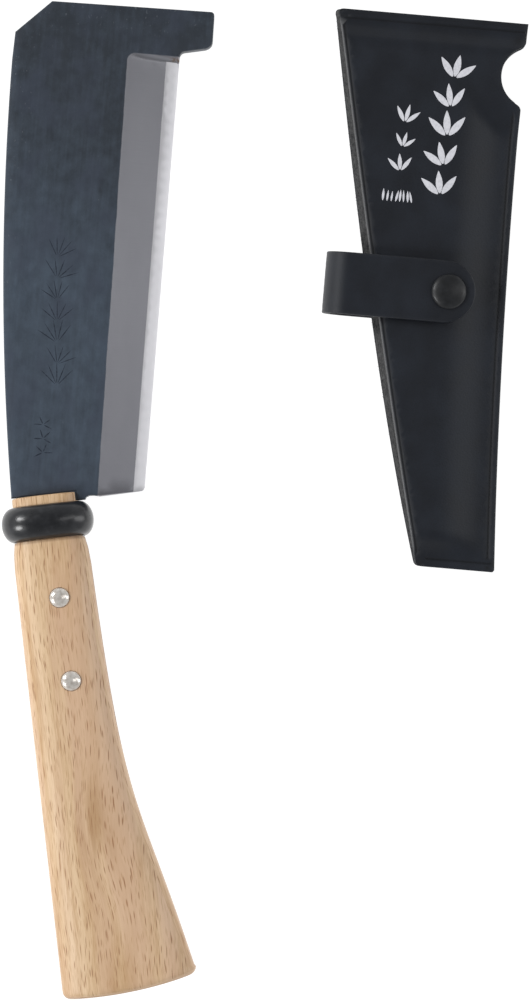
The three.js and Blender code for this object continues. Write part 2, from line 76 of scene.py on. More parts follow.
MM = 0.001
LEAN = 4.9
GRIP_ANGLE = 11.5
FERRULE_CENTRE = -1.1
TIP_Y = 195.2
TIP_RISE = 10.8
PLATE_HALF = 3.0

log = logging.getLogger("hatchet")


def tone(red: float, green: float, blue: float) -> Colour:
    """A screen colour of 0 to 255 per channel as scene-linear light."""
    linear = [((c / 255 + 0.055) / 1.055) ** 2.4 if c > 10 else c / 255 / 12.92 for c in (red, green, blue)]
    return (linear[0], linear[1], linear[2], 1.0)


def smooth(value: float) -> float:
    """Ease a value from 0 to 1, held outside that range."""
    held = min(1.0, max(0.0, value))
    return held * held * (3 - 2 * held)


def lerp(start: float, end: float, share: float) -> float:
    """The value a share of the way from start to end."""
    return start + (end - start) * share


def ridge(offset: float, width: float) -> float:
    """A soft ridge: 1 in its middle and falling to 0 within about two widths."""
    return math.exp(-((offset / width) ** 2))


def nowhere(x: float, y: float) -> float:
    """A height or a strength of 0 all over."""
    return 0.0


def oval(angle: float, half_x: float, half_z: float, power: float) -> Point:
    """A point of a rounded oval.

    Args:
        angle: The turn round the oval in radians.
        half_x: Its half width.
        half_z: Its half height.
        power: 2 for an ellipse, and more for squarer corners.

    Returns:
        The point's x and z.
    """
    cos, sin = math.cos(angle), math.sin(angle)
    return (
        half_x * math.copysign(abs(cos) ** (2 / power), cos),
        half_z * math.copysign(abs(sin) ** (2 / power), sin),
    )


class Outline:
    """A closed path on a plate, drawn anticlockwise and sampled finely."""

    def __init__(self, start: Point, step: float = 1.5) -> None:
        """Start the path."""
        self.points: list[Point] = [start]
        self.step = step

    def _follow(self, length: float, curve: Callable[[float], Point]) -> Outline:
        """Add samples along a curve that runs from 0 to 1.

        Args:
            length: The curve's rough length.
            curve: Gives the point at a share of the way.

        Returns:
            The outline itself.
        """
        count = max(1, math.ceil(length / self.step))
        self.points += [curve(i / count) for i in range(1, count + 1)]
        return self

    def line(self, x: float, y: float) -> Outline:
        """Add a straight run."""
        ax, ay = self.points[-1]
        return self._follow(math.dist((ax, ay), (x, y)), lambda t: (lerp(ax, x, t), lerp(ay, y, t)))

    def bend(self, control: Point, end: Point) -> Outline:
        """Add a quadratic curve.

        Args:
            control: Its control point.
            end: Where it ends.

        Returns:
            The outline itself.
        """
        a = self.points[-1]
        length = max(math.dist(a, control) + math.dist(control, end), 4 * self.step)
        return self._follow(
            length,
            lambda t: tuple(
                (1 - t) ** 2 * a[k] + 2 * t * (1 - t) * control[k] + t * t * end[k] for k in (0, 1)
            ),
        )

    def arc(self, centre: Point, radius: float, start: float, end: float) -> Outline:
        """Add a round arc.

        Args:
            centre: The circle's centre.
            radius: Its radius.
            start: The first angle in degrees.
            end: The last angle in degrees.

        Returns:
            The outline itself.
        """
        length = radius * math.radians(abs(end - start))
        return self._follow(
            length,
            lambda t: (
                centre[0] + radius * math.cos(math.radians(lerp(start, end, t))),
                centre[1] + radius * math.sin(math.radians(lerp(start, end, t))),
            ),
        )

    def closed(self) -> list[Point]:
        """The samples without repeats.

        Returns:
            The path's points, with the last one apart from the first.
        """
        kept: list[Point] = []
        for point in self.points:
            if not kept or math.dist(point, kept[-1]) > 1e-3:
                kept.append(point)
        return kept[:-1] if math.dist(kept[0], kept[-1]) < 1e-3 else kept


def curve_x(curve: Sequence[Point], y: float) -> float:
    """Where a path that runs along the plate crosses a height.

    Args:
        curve: The path's samples in falling order of y.
        y: The height.

    Returns:
        The crossing's x.
    """
    for (ax, ay), (bx, by) in zip(curve, curve[1:]):
        if by <= y <= ay:
            return lerp(ax, bx, (ay - y) / max(ay - by, 1e-9))
    return curve[0][0] if y > curve[0][1] else curve[-1][0]


@dataclass
class Shell:
    """Vertices in millimetres of a local frame with the faces between them."""

    points: list[Spot] = field(default_factory=list)
    faces: list[tuple[int, ...]] = field(default_factory=list)
    creases: set[frozenset[int]] = field(default_factory=set)
    faced_up: set[int] = field(default_factory=set)

    def loft(self, rings: Sequence[Sequence[Spot]], capped: bool = True) -> Shell:
        """Add a skin through rings of equal length.

        Args:
            rings: The rings in order.
            capped: Whether the ends are closed. If not, the last ring joins the first.

        Returns:
            The shell itself.
        """
        base, count = len(self.points), len(rings[0])
        for ring in rings:
            self.points += list(ring)
        spans = len(rings) - 1 if capped else len(rings)
        for row in range(spans):
            self._band(base + row * count, base + ((row + 1) % len(rings)) * count, count)
        if capped:
            self.faces.append(tuple(base + i for i in reversed(range(count))))
            last = base + (len(rings) - 1) * count
            self.faces.append(tuple(last + i for i in range(count)))
        return self

    def _band(self, here: int, there: int, count: int) -> None:
        """Join two rings with a band of faces.

        Args:
            here: The first ring's first vertex.
            there: The second ring's first vertex.
            count: How many vertices each has.
        """
        for i in range(count):
            j = (i + 1) % count
            self.faces.append((here + i, here + j, there + j, there + i))

    def turned(self, profile: Sequence[Point], x: float = 0, y: float = 0, segments: int = 72) -> Shell:
        """Add a turned body from a profile that starts and ends on the axis.

        Args:
            profile: Pairs of radius and height.
            x: The axis's place across.
            y: The axis's place along.
            segments: How many flats stand for the round.

        Returns:
            The shell itself.
        """
        base = len(self.points)
        self.points += [(x, y, profile[0][1]), (x, y, profile[-1][1])]
        for radius, z in profile[1:-1]:
            for i in range(segments):
                angle = 2 * math.pi * i / segments
                self.points.append((x + radius * math.cos(angle), y + radius * math.sin(angle), z))
        first = base + 2
        last = first + (len(profile) - 3) * segments
        for i in range(segments):
            j = (i + 1) % segments
            self.faces.append((base, first + j, first + i))
            self.faces.append((base + 1, last + i, last + j))
        for low in range(first, last, segments):
            self._band(low, low + segments, segments)
        return self

    def slab(
        self,
        outline: Sequence[Point],
        top: Height,
        bottom: Height,
        rounding: float = 0.4,
        spacing: float = 4.0,
        creases: Iterable[Sequence[Point]] = (),
        guides: Iterable[Sequence[Point]] = (),
    ) -> Shell:
        """Add a plate with shaped faces and rounded edges.

        Args:
            outline: The plate's outline, anticlockwise.
            top: The upper face's height at a point.
            bottom: The lower face's height at a point.
            rounding: The radius along the edges, less where the plate is thin.
            spacing: The gap between sample points inside.
            creases: Paths that stay sharp.
            guides: Paths that only carry sample points.

        Returns:
            The shell itself.
        """
        count = len(outline)
        normals, radii = [], []
        for i, (x, y) in enumerate(outline):
            (ax, ay), (bx, by) = outline[i - 1], outline[(i + 1) % count]
            before, after = Vector((x - ax, y - ay)).normalized(), Vector((bx - x, by - y)).normalized()
            middle = (before + after).normalized()
            inward = Vector((-middle.y, middle.x))
            spread = max(0.45, inward.dot(Vector((-before.y, before.x))))
            normals.append(inward / spread)
            radii.append(min(rounding, 0.45 * (top(x, y) - bottom(x, y))))
        base, steps = len(self.points), 4

        def ring(k: int, side: int) -> list[Spot]:
            """A ring round the rim, from the side wall at step 0 to the face at the last step.

            Args:
                k: The step.
                side: 1 above and -1 below.

            Returns:
                The ring's points.
            """
            angle = k / (steps - 1) * math.pi / 2
            made = []
            for (x, y), inward, radius in zip(outline, normals, radii):
                inset, drop = radius * (1 - math.cos(angle)), radius * (1 - math.sin(angle))
                px, py = x + inward.x * inset, y + inward.y * inset
                z = top(px, py) - drop if side > 0 else bottom(px, py) + drop
                made.append((px, py, z))
            return made

        rings = [ring(steps - 1 - k, -1) for k in range(steps)] + [ring(k, 1) for k in range(steps)]
        for row in rings:
            self.points += row
        for row in range(len(rings) - 1):
            self._band(base + row * count, base + (row + 1) * count, count)

        rim = [(x, y) for x, y, _ in rings[-1]]
        flat = [Vector(point) for point in rim]
        edges = [(i, (i + 1) % count) for i in range(count)]
        marked = 0
        for paths, is_crease in ((creases, True), (guides, False)):
            for path in paths:
                first = len(flat)
                flat += [Vector(point) for point in path]
                edges += [(first + i, first + i + 1) for i in range(len(path) - 1)]
            if is_crease:
                marked = len(edges)
        low = Vector((min(x for x, _ in rim), min(y for _, y in rim)))
        high = Vector((max(x for x, _ in rim), max(y for _, y in rim)))
        columns = int((high.x - low.x) / spacing) + 1
        rows = int((high.y - low.y) / spacing) + 1
        for row in range(rows):
            for column in range(columns):
                shift = 0.5 if row % 2 else 0.0
                place = (low.x + (column + shift) * spacing, low.y + (row + 0.4) * spacing)
                if inside(rim, place) and clear_of(rim, place, 0.4 * spacing):
                    flat.append(Vector(place))
        points, found_edges, faces, origins, edge_origins, _ = delaunay_2d_cdt(
            flat, edges, [list(range(count))], 1, 1e-4
        )
        for side, function in ((1, top), (-1, bottom)):
            rim_base = base + (len(rings) - 1) * count if side > 0 else base
            index = []
            for place, origin in zip(points, origins):
                on_rim = [o for o in origin if o < count]
                if on_rim:
                    index.append(rim_base + on_rim[0])
                else:
                    index.append(len(self.points))
                    self.points.append((place.x, place.y, function(place.x, place.y)))
            for face in faces:
                corners = [index[i] for i in face]
                if side > 0:
                    self.faced_up.add(len(self.faces))
                else:
                    corners.reverse()
                self.faces.append(tuple(corners))
            for (a, b), origin in zip(found_edges, edge_origins):
                if any(count <= o < marked for o in origin):
                    self.creases.add(frozenset((index[a], index[b])))
        return self

    def bent(self, path: Callable[[float, float, float], Spot]) -> Shell:
        """Carry every point through a bend."""
        self.points = [path(*point) for point in self.points]
        return self


def inside(polygon: Sequence[Point], place: Point) -> bool:
    """Whether a place lies inside a closed path.

    Args:
        polygon: The path's points.
        place: The place.

    Returns:
        True if it does.
    """
    x, y = place
    found = False
    for (ax, ay), (bx, by) in zip(polygon, [*polygon[1:], polygon[0]]):
        if (ay > y) != (by > y) and x < ax + (y - ay) * (bx - ax) / (by - ay):
            found = not found
    return found


def clear_of(polygon: Sequence[Point], place: Point, gap: float) -> bool:
    """Whether a place keeps a gap to a closed path.

    Args:
        polygon: The path's points.
        place: The place.
        gap: The least distance.

    Returns:
        True if it does.
    """
    here = Vector(place)
    for a, b in zip(polygon, [*polygon[1:], polygon[0]]):
        near, share = intersect_point_line(here, Vector(a), Vector(b))
        nearest = near if 0 <= share <= 1 else Vector(a if share < 0 else b)
        if (nearest.to_2d() - here).length < gap:
            return False
    return True


class Body(Enum):
    """The moving bodies that pieces ride on."""

    HATCHET = "hatchet"
    SHEATH = "sheath"
    FLAP = "strap_flap"


class Slot(Enum):
    """Names for material slots, which nothing in the script uses."""

    BLACK_IRON = "black_iron"
    HARD_STEEL = "hard_steel"
    BEECH = "beech"
    LACQUER = "black_lacquer"
    NICKEL = "nickel"
    VINYL = "vinyl"
    SNAP = "black_snap"


class Frames:
    """Where the three local frames lie, found from the loaded model."""

    def __init__(self) -> None:
        """Find the frames from the ferrule and the press stud's cap."""
        low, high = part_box("ferrule")
        grip_turn = Matrix.Rotation(math.radians(GRIP_ANGLE), 4, "Z")
        plate_low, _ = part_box("blade_body")
        rise = (low.z + high.z) / 2
        turn = Matrix.Rotation(math.radians(-LEAN), 4, "Z")
        # The hatchet leans on its ferrule and its tip. The ferrule's middle lies a little behind the origin.
        tilt = math.asin(TIP_RISE / TIP_Y)
        for _ in range(3):
            leaned = turn @ Matrix.Rotation(-tilt, 4, "X")
            back = leaned @ grip_turn @ Vector((0, FERRULE_CENTRE * MM, 0))
            tilt = math.asin((rise - back.z - plate_low.z - PLATE_HALF * MM) / (TIP_Y * MM))
        centre = (low + high) / 2
        self.hatchet = Matrix.Translation(centre - back) @ leaned
        self.grip = self.hatchet @ grip_turn
        low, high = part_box("snap_cap")
        middle = (low + high) / 2
        self.sheath = Matrix.Translation((middle.x, middle.y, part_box("strap_rivet_1")[0].z)) @ turn


def build(
    name: str,
    shell: Shell,
    frame: Matrix,
    finishes: Sequence[bpy.types.Material],
    sharp: float = 30,
) -> bpy.types.Object:
    """Make a finished object from a shell.

    Args:
        name: The object's name.
        shell: Its vertices and faces in the frame's millimetres.
        frame: Where the frame lies.
        finishes: The materials. A second one goes on the faces that a slab faces up.
        sharp: The angle in degrees from which an edge is drawn sharp.

    Returns:
        The object, at the origin with its place in its mesh.
    """
    mesh = bpy.data.meshes.new(name)
    mesh.from_pydata([frame @ (Vector(point) * MM) for point in shell.points], [], shell.faces)
    if len(finishes) > 1:
        for polygon in mesh.polygons:
            polygon.material_index = 1 if polygon.index in shell.faced_up else 0
    mesh.shade_smooth()
    mesh.set_sharp_from_angle(angle=math.radians(sharp))
    if shell.creases:
        flags = mesh.attributes.get("sharp_edge") or mesh.attributes.new("sharp_edge", "BOOLEAN", "EDGE")
        for edge in mesh.edges:
            if frozenset(edge.vertices) in shell.creases:
                flags.data[edge.index].value = True
    work = bmesh.new()
    work.from_mesh(mesh)
    bmesh.ops.recalc_face_normals(work, faces=work.faces)
    work.to_mesh(mesh)
    work.free()
    for finish in finishes:
        mesh.materials.append(finish)
    made = bpy.data.objects.new(name, mesh)
    bpy.context.scene.collection.objects.link(made)
    return made


def settle(made: bpy.types.Object) -> bpy.types.Object:
    """Turn an object's modifiers into a plain mesh.

    Args:
        made: The object.

    Returns:
        The same object with its modifiers applied and removed.
    """
    bpy.context.view_layer.update()
    evaluated = made.evaluated_get(bpy.context.evaluated_depsgraph_get())
    mesh = bpy.data.meshes.new_from_object(evaluated)
    made.modifiers.clear()
    made.data = mesh
    return made


def carve(made: bpy.types.Object, cutters: Sequence[bpy.types.Object]) -> bpy.types.Object:
    """Cut the shapes of other objects out of one.

    Args:
        made: The object to cut.
        cutters: The cutting objects, which are used up.

    Returns:
        The cut object.
    """
    for cutter in cutters:
        modifier = made.modifiers.new("Cut", "BOOLEAN")
        modifier.operation, modifier.solver, modifier.object = "DIFFERENCE", "EXACT", cutter
    settle(made)
    for cutter in cutters:
        bpy.data.objects.remove(cutter)
    return made


def enlist(
    made: bpy.types.Object, body: Body, stands_for: Sequence[str] = ()
) -> bpy.types.Object:
    """Attach a finished piece to its body and report it.

    Args:
        made: The piece.
        body: The body it rides on.
        stands_for: The frame's nodes that it replaces.

    Returns:
        The piece.
    """
    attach(made, body.value)
    if stands_for:
        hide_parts(*stands_for)
    log.info("%s: %d faces on %s", made.name, len(made.data.polygons), body.value)
    return made


# ---- Shader kit ------------------------------------------------------------------------------------------


class Wires:
    """Builds nodes in one tree."""

    def __init__(self, tree: bpy.types.NodeTree) -> None:
        """Start with an empty tree."""
        self.tree = tree
        self.tree.nodes.clear()

    def node(self, kind: str, settings: dict | None = None, sockets: dict | None = None) -> bpy.types.Node:
        """Add a node.

        Args:
            kind: The node's type.
            settings: Its own settings, such as an operation.
            sockets: Values or links for its inputs, by identifier, name or index.

        Returns:
            The node.
        """
        made = self.tree.nodes.new(kind)
        for key, value in (settings or {}).items():
            setattr(made, key, value)
        for key, value in (sockets or {}).items():
            if isinstance(key, int):
                target = made.inputs[key]
            else:
                target = next((s for s in made.inputs if s.identifier == key), None) or made.inputs[key]
            self.feed(target, value)
        return made

    def feed(self, target: bpy.types.NodeSocket, value: object) -> None:
        """Link a signal or a socket to an input, or set the input's value.

        Args:
            target: The input.
            value: What it gets.
        """
        source = value.socket if isinstance(value, Signal) else value
        if isinstance(source, bpy.types.NodeSocket):
            self.tree.links.new(source, target)
        else:
            target.default_value = source


class Signal:
    """A number in a node tree that takes part in arithmetic."""

    def __init__(self, wires: Wires, socket: bpy.types.NodeSocket) -> None:
        """Wrap a socket."""
        self.wires, self.socket = wires, socket

    def _math(self, operation: str, *values: Signal | float) -> Signal:
        """Add a Math node."""
        made = self.wires.node("ShaderNodeMath", {"operation": operation}, dict(enumerate(values)))
        return Signal(self.wires, made.outputs[0])

    def __add__(self, other: Signal | float) -> Signal:
        """This plus other."""
        return self._math("ADD", self, other)

    __radd__ = __add__

    def __sub__(self, other: Signal | float) -> Signal:
        """This minus other."""
        return self._math("SUBTRACT", self, other)

    def __rsub__(self, other: float) -> Signal:
        """Other minus this."""
        return self._math("SUBTRACT", other, self)

    def __mul__(self, other: Signal | float) -> Signal:
        """This times other."""
        return self._math("MULTIPLY", self, other)

    __rmul__ = __mul__

    def __truediv__(self, other: Signal | float) -> Signal:
        """This divided by other."""
        return self._math("DIVIDE", self, other)

    def root(self) -> Signal:
        """The square root."""
        return self._math("SQRT", self)

    def least(self, other: Signal | float) -> Signal:
        """The smaller of this and other."""
        return self._math("MINIMUM", self, other)

    def most(self, other: Signal | float) -> Signal:
        """The larger of this and other."""
        return self._math("MAXIMUM", self, other)

    def size(self) -> Signal:
        """The value without its sign."""
        return self._math("ABSOLUTE", self)

    def eased(self, low: float, high: float) -> Signal:
        """Ease from 0 at low to 1 at high.

        Args:
            low: Where it starts.
            high: Where it ends.

        Returns:
            The eased value.
        """
        flip = high < low
        made = self.wires.node(
            "ShaderNodeMapRange",
            {"interpolation_type": "SMOOTHSTEP"},
            {
                "Value": self,
                "From Min": min(low, high),
                "From Max": max(low, high),
                "To Min": 1.0 if flip else 0.0,
                "To Max": 0.0 if flip else 1.0,
            },
        )
        return Signal(self.wires, made.outputs[0])


class Paint(Wires):
    """One material with a principled shader."""

    def __init__(self, name: str) -> None:
        """Start the material.

        Args:
            name: Its name.
        """
        self.material = bpy.data.materials.new(name)
        self.material.use_nodes = True
        super().__init__(self.material.node_tree)
        self.shader = self.node("ShaderNodeBsdfPrincipled")
        self.node("ShaderNodeOutputMaterial", None, {"Surface": self.shader.outputs[0]})

    def millimetres(self, frame: Matrix) -> bpy.types.NodeSocket:
        """A local frame's coordinates in millimetres.

        Args:
            frame: Where the frame lies.

        Returns:
            The vector socket.
        """
        place, turn, _ = frame.decompose()
        coordinates = self.node("ShaderNodeTexCoord").outputs["Object"]
        mapping = self.node(
            "ShaderNodeMapping",
            {"vector_type": "TEXTURE"},
            {"Vector": coordinates, "Location": place, "Rotation": turn.to_euler(), "Scale": (MM, MM, MM)},
        )
        return mapping.outputs[0]

    def stretched(self, vector: bpy.types.NodeSocket, size: Spot) -> bpy.types.NodeSocket:
        """Coordinates counted in cells of a given size."""
        return self.node("ShaderNodeVectorMath", {"operation": "DIVIDE"}, {0: vector, 1: size}).outputs[0]

    def parts(self, vector: bpy.types.NodeSocket) -> tuple[Signal, Signal, Signal]:
        """A vector's three numbers."""
        made = self.node("ShaderNodeSeparateXYZ", None, {0: vector})
        return tuple(Signal(self, socket) for socket in made.outputs)

    def cloud(
        self,
        vector: bpy.types.NodeSocket,
        size: Spot,
        detail: float = 3,
        roughness: float = 0.55,
    ) -> Signal:
        """Soft random variation about 0.5.

        Args:
            vector: The coordinates in millimetres.
            size: The size of its patches along each axis.
            detail: How many finer layers it has.
            roughness: How strong they are.

        Returns:
            The variation.
        """
        made = self.node(
            "ShaderNodeTexNoise",
            None,
            {"Vector": self.stretched(vector, size), "Scale": 1.0, "Detail": detail, "Roughness": roughness},
        )
        return Signal(self, made.outputs[0])

    def blend(
        self,
        mask: Signal | float,
        first: Colour | bpy.types.NodeSocket,
        second: Colour | bpy.types.NodeSocket,
    ) -> bpy.types.NodeSocket:
        """Mix two colours.

        Args:
            mask: 0 for the first and 1 for the second.
            first: A colour or a socket.
            second: A colour or a socket.

        Returns:
            The mixed colour's socket.
        """
        made = self.node(
            "ShaderNodeMix",
            {"data_type": "RGBA"},
            {"Factor_Float": mask, "A_Color": first, "B_Color": second},
        )
        return next(s for s in made.outputs if s.identifier == "Result_Color")

    def dashes(self, vector: bpy.types.NodeSocket, cell: Point, reach: float, share: float) -> Signal:
        """Short dashes strewn over a surface, one to a cell.

        Args:
            vector: The coordinates in millimetres.
            cell: The cell's width and length.
            reach: A dash's half width in cells.
            share: How many of the cells have one.

        Returns:
            1 inside a dash and 0 outside.
        """
        cells = self.node(
            "ShaderNodeTexVoronoi",
            {"feature": "F1", "voronoi_dimensions": "2D"},
            {"Vector": self.stretched(vector, (*cell, 1)), "Scale": 1.0},
        )
        chance = self.parts(cells.outputs["Color"])[0].eased(1 - share, 1 - share + 0.3)
        return Signal(self, cells.outputs["Distance"]).eased(reach, reach * 0.35) * chance

    def relief(self, height: Signal, depth: float) -> bpy.types.NodeSocket:
        """A bumped normal."""
        made = self.node("ShaderNodeBump", None, {"Strength": 1.0, "Distance": depth * MM, "Height": height})
        return made.outputs[0]

    def swirled(self, x: Signal, z: Signal) -> bpy.types.NodeSocket:
        """Coordinates that follow growth rings about a point below the handle.

        Args:
            x: The place across the handle.
            z: The height.

        Returns:
            The vector socket: the way round the rings and the way out.
        """
        low = z + 55.0
        out = (x * x + low * low).root()
        return self.node("ShaderNodeCombineXYZ", None, {0: x, 1: out}).outputs[0]

    def facing(self, frame: Matrix, axis: int) -> Signal:
        """How far the surface faces along an axis of a local frame.

        Args:
            frame: Where the frame lies.
            axis: 0, 1 or 2 for X, Y or Z.

        Returns:
            1 when it faces along the axis, 0 when it faces across it and -1 when it faces back.
        """
        made = self.node(
            "ShaderNodeVectorMath",
            {"operation": "DOT_PRODUCT"},
            {0: self.node("ShaderNodeTexCoord").outputs["Normal"], 1: frame.to_3x3().col[axis]},
        )
        return Signal(self, made.outputs[1])

    def attribute(self, name: str) -> Signal:
        """A number stored on the piece's own vertices."""
        made = self.node("ShaderNodeAttribute", {"attribute_name": name})
        return Signal(self, made.outputs["Fac"])

    def dress(self, **sockets: Signal | bpy.types.NodeSocket | float | Colour) -> bpy.types.Material:
        """Set the shader's inputs.

        Args:
            sockets: Values by input name, with underscores for spaces.

        Returns:
            The material.
        """
        for key, value in sockets.items():
            self.feed(self.shader.inputs[key.replace("_", " ")], value)
        return self.material


# ---- Finishes --------------------------------------------------------------------------------------------


@dataclass(frozen=True)
class BladeShape:
    """The blade's measures, which its mesh and its finish share."""

    heel_y: float = 11.0
    run: float = 160.0
    edge: Point = (35.2, 34.3)
    bevel: Point = (17.4, 19.5)
    honed: Point = (4.1, 4.9)
    corner: float = 3.0
    bevel_top: float = 177.3
    honed_top: float = 175.2
    half: float = PLATE_HALF
    honed_half: float = 1.1
    edge_half: float = 0.15

    def measure(self, pair: Point, y: float) -> float:
        """A measure at a height along the edge."""
        return lerp(pair[0], pair[1], (y - self.heel_y) / self.run)

    def along(self, pair: Point, y: Signal) -> Signal:
        """The same measure as a signal of the height."""
        slope = (pair[1] - pair[0]) / self.run
        return y * slope + (pair[0] - self.heel_y * slope)

    def edge_x(self, y: float) -> float:
        """Where the cutting edge lies at a height."""
        return self.measure(self.edge, y)

    def bevel_x(self, y: float) -> float:
        """Where the ground bevel starts at a height."""
        return self.edge_x(y) - self.measure(self.bevel, y)

    def honed_x(self, y: float) -> float:
        """Where the honed strip starts at a height."""
        return self.edge_x(y) - self.measure(self.honed, y)


@dataclass(frozen=True)
class ForgedFinish:
    """Blue-black forge finish with the bevel ground bare beside the edge, and painted light that draws the
    flat plate lighter towards the heel and darker towards the beak.
    """

    dark: Colour = tone(48, 54, 62)
    light: Colour = tone(73, 85, 99)
    violet: Colour = tone(61, 68, 82)
    scuff: Colour = tone(96, 102, 110)
    ground: Colour = tone(160, 160, 166)
    ground_dark: Colour = tone(141, 141, 147)
    ground_heel: Colour = tone(118, 118, 124)
    burnish: Colour = tone(122, 98, 74)
    rim_y: float = 194

    def paint(self, frame: Matrix, shape: BladeShape) -> bpy.types.Material:
        """Build the material.

        Args:
            frame: The hatchet's frame.
            shape: The blade's measures.

        Returns:
            The material.
        """
        paint = Paint("forged blade")
        place = paint.millimetres(frame)
        x, y, _ = paint.parts(place)
        wobble = (paint.cloud(place, (6, 9, 6), 4) - 0.5) * 0.7

        depth = shape.along(shape.edge, y) - x
        within = shape.along(shape.bevel, y) - depth + wobble
        below = shape.bevel_top - y + wobble * 0.4
        round_x, round_y = (shape.corner - within).most(0.0), (shape.corner - below).most(0.0)
        ground = (shape.corner - (round_x * round_x + round_y * round_y).root()).eased(-0.15, 0.3)

        patches = paint.cloud(place, (42, 60, 42), 3, 0.5)
        mottle = paint.cloud(place, (4, 5, 4), 5, 0.65)
        streaks = paint.cloud(place, (1.6, 26, 1.6), 3, 0.6)
        scale = paint.cloud(place, (0.7, 0.7, 0.7), 3, 0.6)
        # Painted light: a broad gradient that draws the flat plate lighter towards the heel and darker
        # towards the beak.
        painted_light_sweep = (y + x * 0.5).eased(175, 75)
        shade = painted_light_sweep * 0.62 + (patches - 0.5) * 0.5 + (mottle - 0.5) * 1.0 + (streaks - 0.5) * 0.7 + 0.08
        iron = paint.blend(shade.least(1.0).most(0.0), self.dark, self.light)
        iron = paint.blend(paint.cloud(place, (13, 16, 13), 2, 0.5).eased(0.45, 0.7) * 0.6, iron, self.violet)
        specks = paint.cloud(place, (1.6, 2.4, 1.6), 2, 0.5).eased(0.7, 0.78) * mottle.eased(0.5, 0.62)
        rim = (y - self.rim_y).eased(-14, 0).most((x - y * 0.02 + 20.0).eased(2, -8))
        nicks = paint.cloud(place, (0.8, 1.6, 0.8), 2, 0.5).eased(0.66, 0.74) * rim
        iron = paint.blend((specks * 0.45).most(nicks * 0.7), iron, self.scuff)

        scratches = paint.cloud(place, (9, 0.22, 9), 4, 0.7)
        drift = paint.cloud(place, (10, 28, 10), 2, 0.5)
        steel = paint.blend(scratches * 0.45 + drift * 0.55, self.ground_dark, self.ground)
        steel = paint.blend(y.eased(115, 15) * 0.45, steel, self.ground_heel)
        heat = y.eased(174.8, 175.6) * y.eased(177.2, 176.4) * depth.eased(4.4, 2.0) * scale.eased(0.35, 0.6)
        steel = paint.blend(heat * 0.75, steel, self.burnish)

        rough = (0.46 + (mottle - 0.5) * 0.25) * (1.0 - ground) + (0.34 + (scratches - 0.5) * 0.12) * ground
        height = (mottle * 0.7 + scale * 0.3) * (1.0 - ground) + scratches * 0.22 * ground
        return paint.dress(
            Base_Color=paint.blend(ground, iron, steel),
            Metallic=ground * 0.62 + 0.3,
            Roughness=rough,
            Normal=paint.relief(height, 0.05),
        )


@dataclass(frozen=True)
class HonedFinish:
    """Bright steel with fine honing lines along the edge."""

    pale: Colour = tone(220, 219, 222)
    grey: Colour = tone(202, 201, 206)

    def paint(self, frame: Matrix) -> bpy.types.Material:
        """Build the material.

        Args:
            frame: The hatchet's frame.

        Returns:
            The material.
        """
        paint = Paint("honed steel")
        place = paint.millimetres(frame)
        lines = paint.cloud(place, (0.12, 14, 0.12), 3, 0.6)
        drift = paint.cloud(place, (4, 22, 4), 2, 0.5)
        return paint.dress(
            Base_Color=paint.blend(lines * 0.5 + drift * 0.5, self.grey, self.pale),
            Metallic=0.8,
            Roughness=0.34 + (lines - 0.5) * 0.06,
            Normal=paint.relief(lines, 0.0012),
        )


@dataclass(frozen=True)
class BeechFinish:
    """Pale beech whose grain and short brown flecks run along the handle, past a swirl near the butt."""

    pale: Colour = tone(222, 191, 153)
    warm: Colour = tone(190, 151, 108)
    rosy: Colour = tone(216, 181, 152)
    end: Colour = tone(176, 138, 98)
    fleck: Colour = tone(148, 99, 57)
    pore: Colour = tone(172, 126, 82)
    swirl: Point = (5.5, -118)

    def paint(self, frame: Matrix) -> bpy.types.Material:
        """Build the material.

        Args:
            frame: The grip's frame.

        Returns:
            The material.
        """
        paint = Paint("oiled beech")
        place = paint.millimetres(frame)
        x, y, z = paint.parts(place)
        off_x, off_y = (x - self.swirl[0]) / 9.0, (y - self.swirl[1]) / 26.0
        near = (off_x * off_x + off_y * off_y).root().eased(1.5, 0.1)
        sway = (paint.cloud(place, (30, 70, 30), 2, 0.5) - 0.5) * 7.0 + near * 3.2
        upward = paint.facing(frame, 2).size().eased(0.699, 0.701)
        butt = paint.facing(frame, 1).size().eased(0.75, 0.9)
        across = (x + sway) * upward + (z + 41.0) * (1.0 - upward)
        bent = paint.node("ShaderNodeCombineXYZ", None, {0: across, 1: y, 2: z}).outputs[0]
        figure = paint.cloud(bent, (6, 70, 40), 3, 0.55)
        drift = paint.cloud(bent, (11, 120, 60), 2, 0.5)
        fibres = paint.cloud(bent, (0.6, 14, 30), 4, 0.7)
        base = paint.blend((figure * 0.5 + fibres * 0.5).eased(0.34, 0.66), self.pale, self.warm)
        base = paint.blend(drift.eased(0.42, 0.66) * 0.6, base, self.rosy)

        flecks = paint.dashes(bent, (1.0, 16), 0.2, 0.75).most(paint.dashes(bent, (2.1, 21), 0.1, 0.7))
        pores = paint.dashes(bent, (0.6, 9), 0.24, 0.9)
        wood = paint.blend(pores * 0.6, base, self.pore)
        wood = paint.blend(flecks * 0.9, wood, self.fleck)
        wood = paint.blend(near * near * figure.eased(0.35, 0.6) * 0.55, wood, tone(160, 118, 74))
        # Painted shade: a dark band on the wood just below the ferrule's lip, where the two parts meet.
        shoulder_shade = y.eased(-9.2, -8.2) * y.eased(-6.4, -7.0)
        wood = paint.blend(shoulder_shade * 0.5, wood, tone(110, 78, 50))
        rings = paint.cloud(paint.swirled(x, z), (30, 1.3, 1), 3, 0.6)
        dots = paint.cloud(place, (0.45, 0.45, 0.45), 2, 0.6)
        sawn = paint.blend((rings * 0.6 + dots * 0.4).eased(0.36, 0.64), self.end, self.warm)
        wood = paint.blend(butt, wood, sawn)
        height = (fibres * 0.5 - flecks * 0.3 - pores * 0.15) * (1.0 - butt) + dots * butt * 0.6
        return paint.dress(
            Base_Color=wood,
            Roughness=0.48 + (fibres - 0.5) * 0.2 + flecks * 0.12,
            Normal=paint.relief(height, 0.05),
            Specular_IOR_Level=0.62,
        )


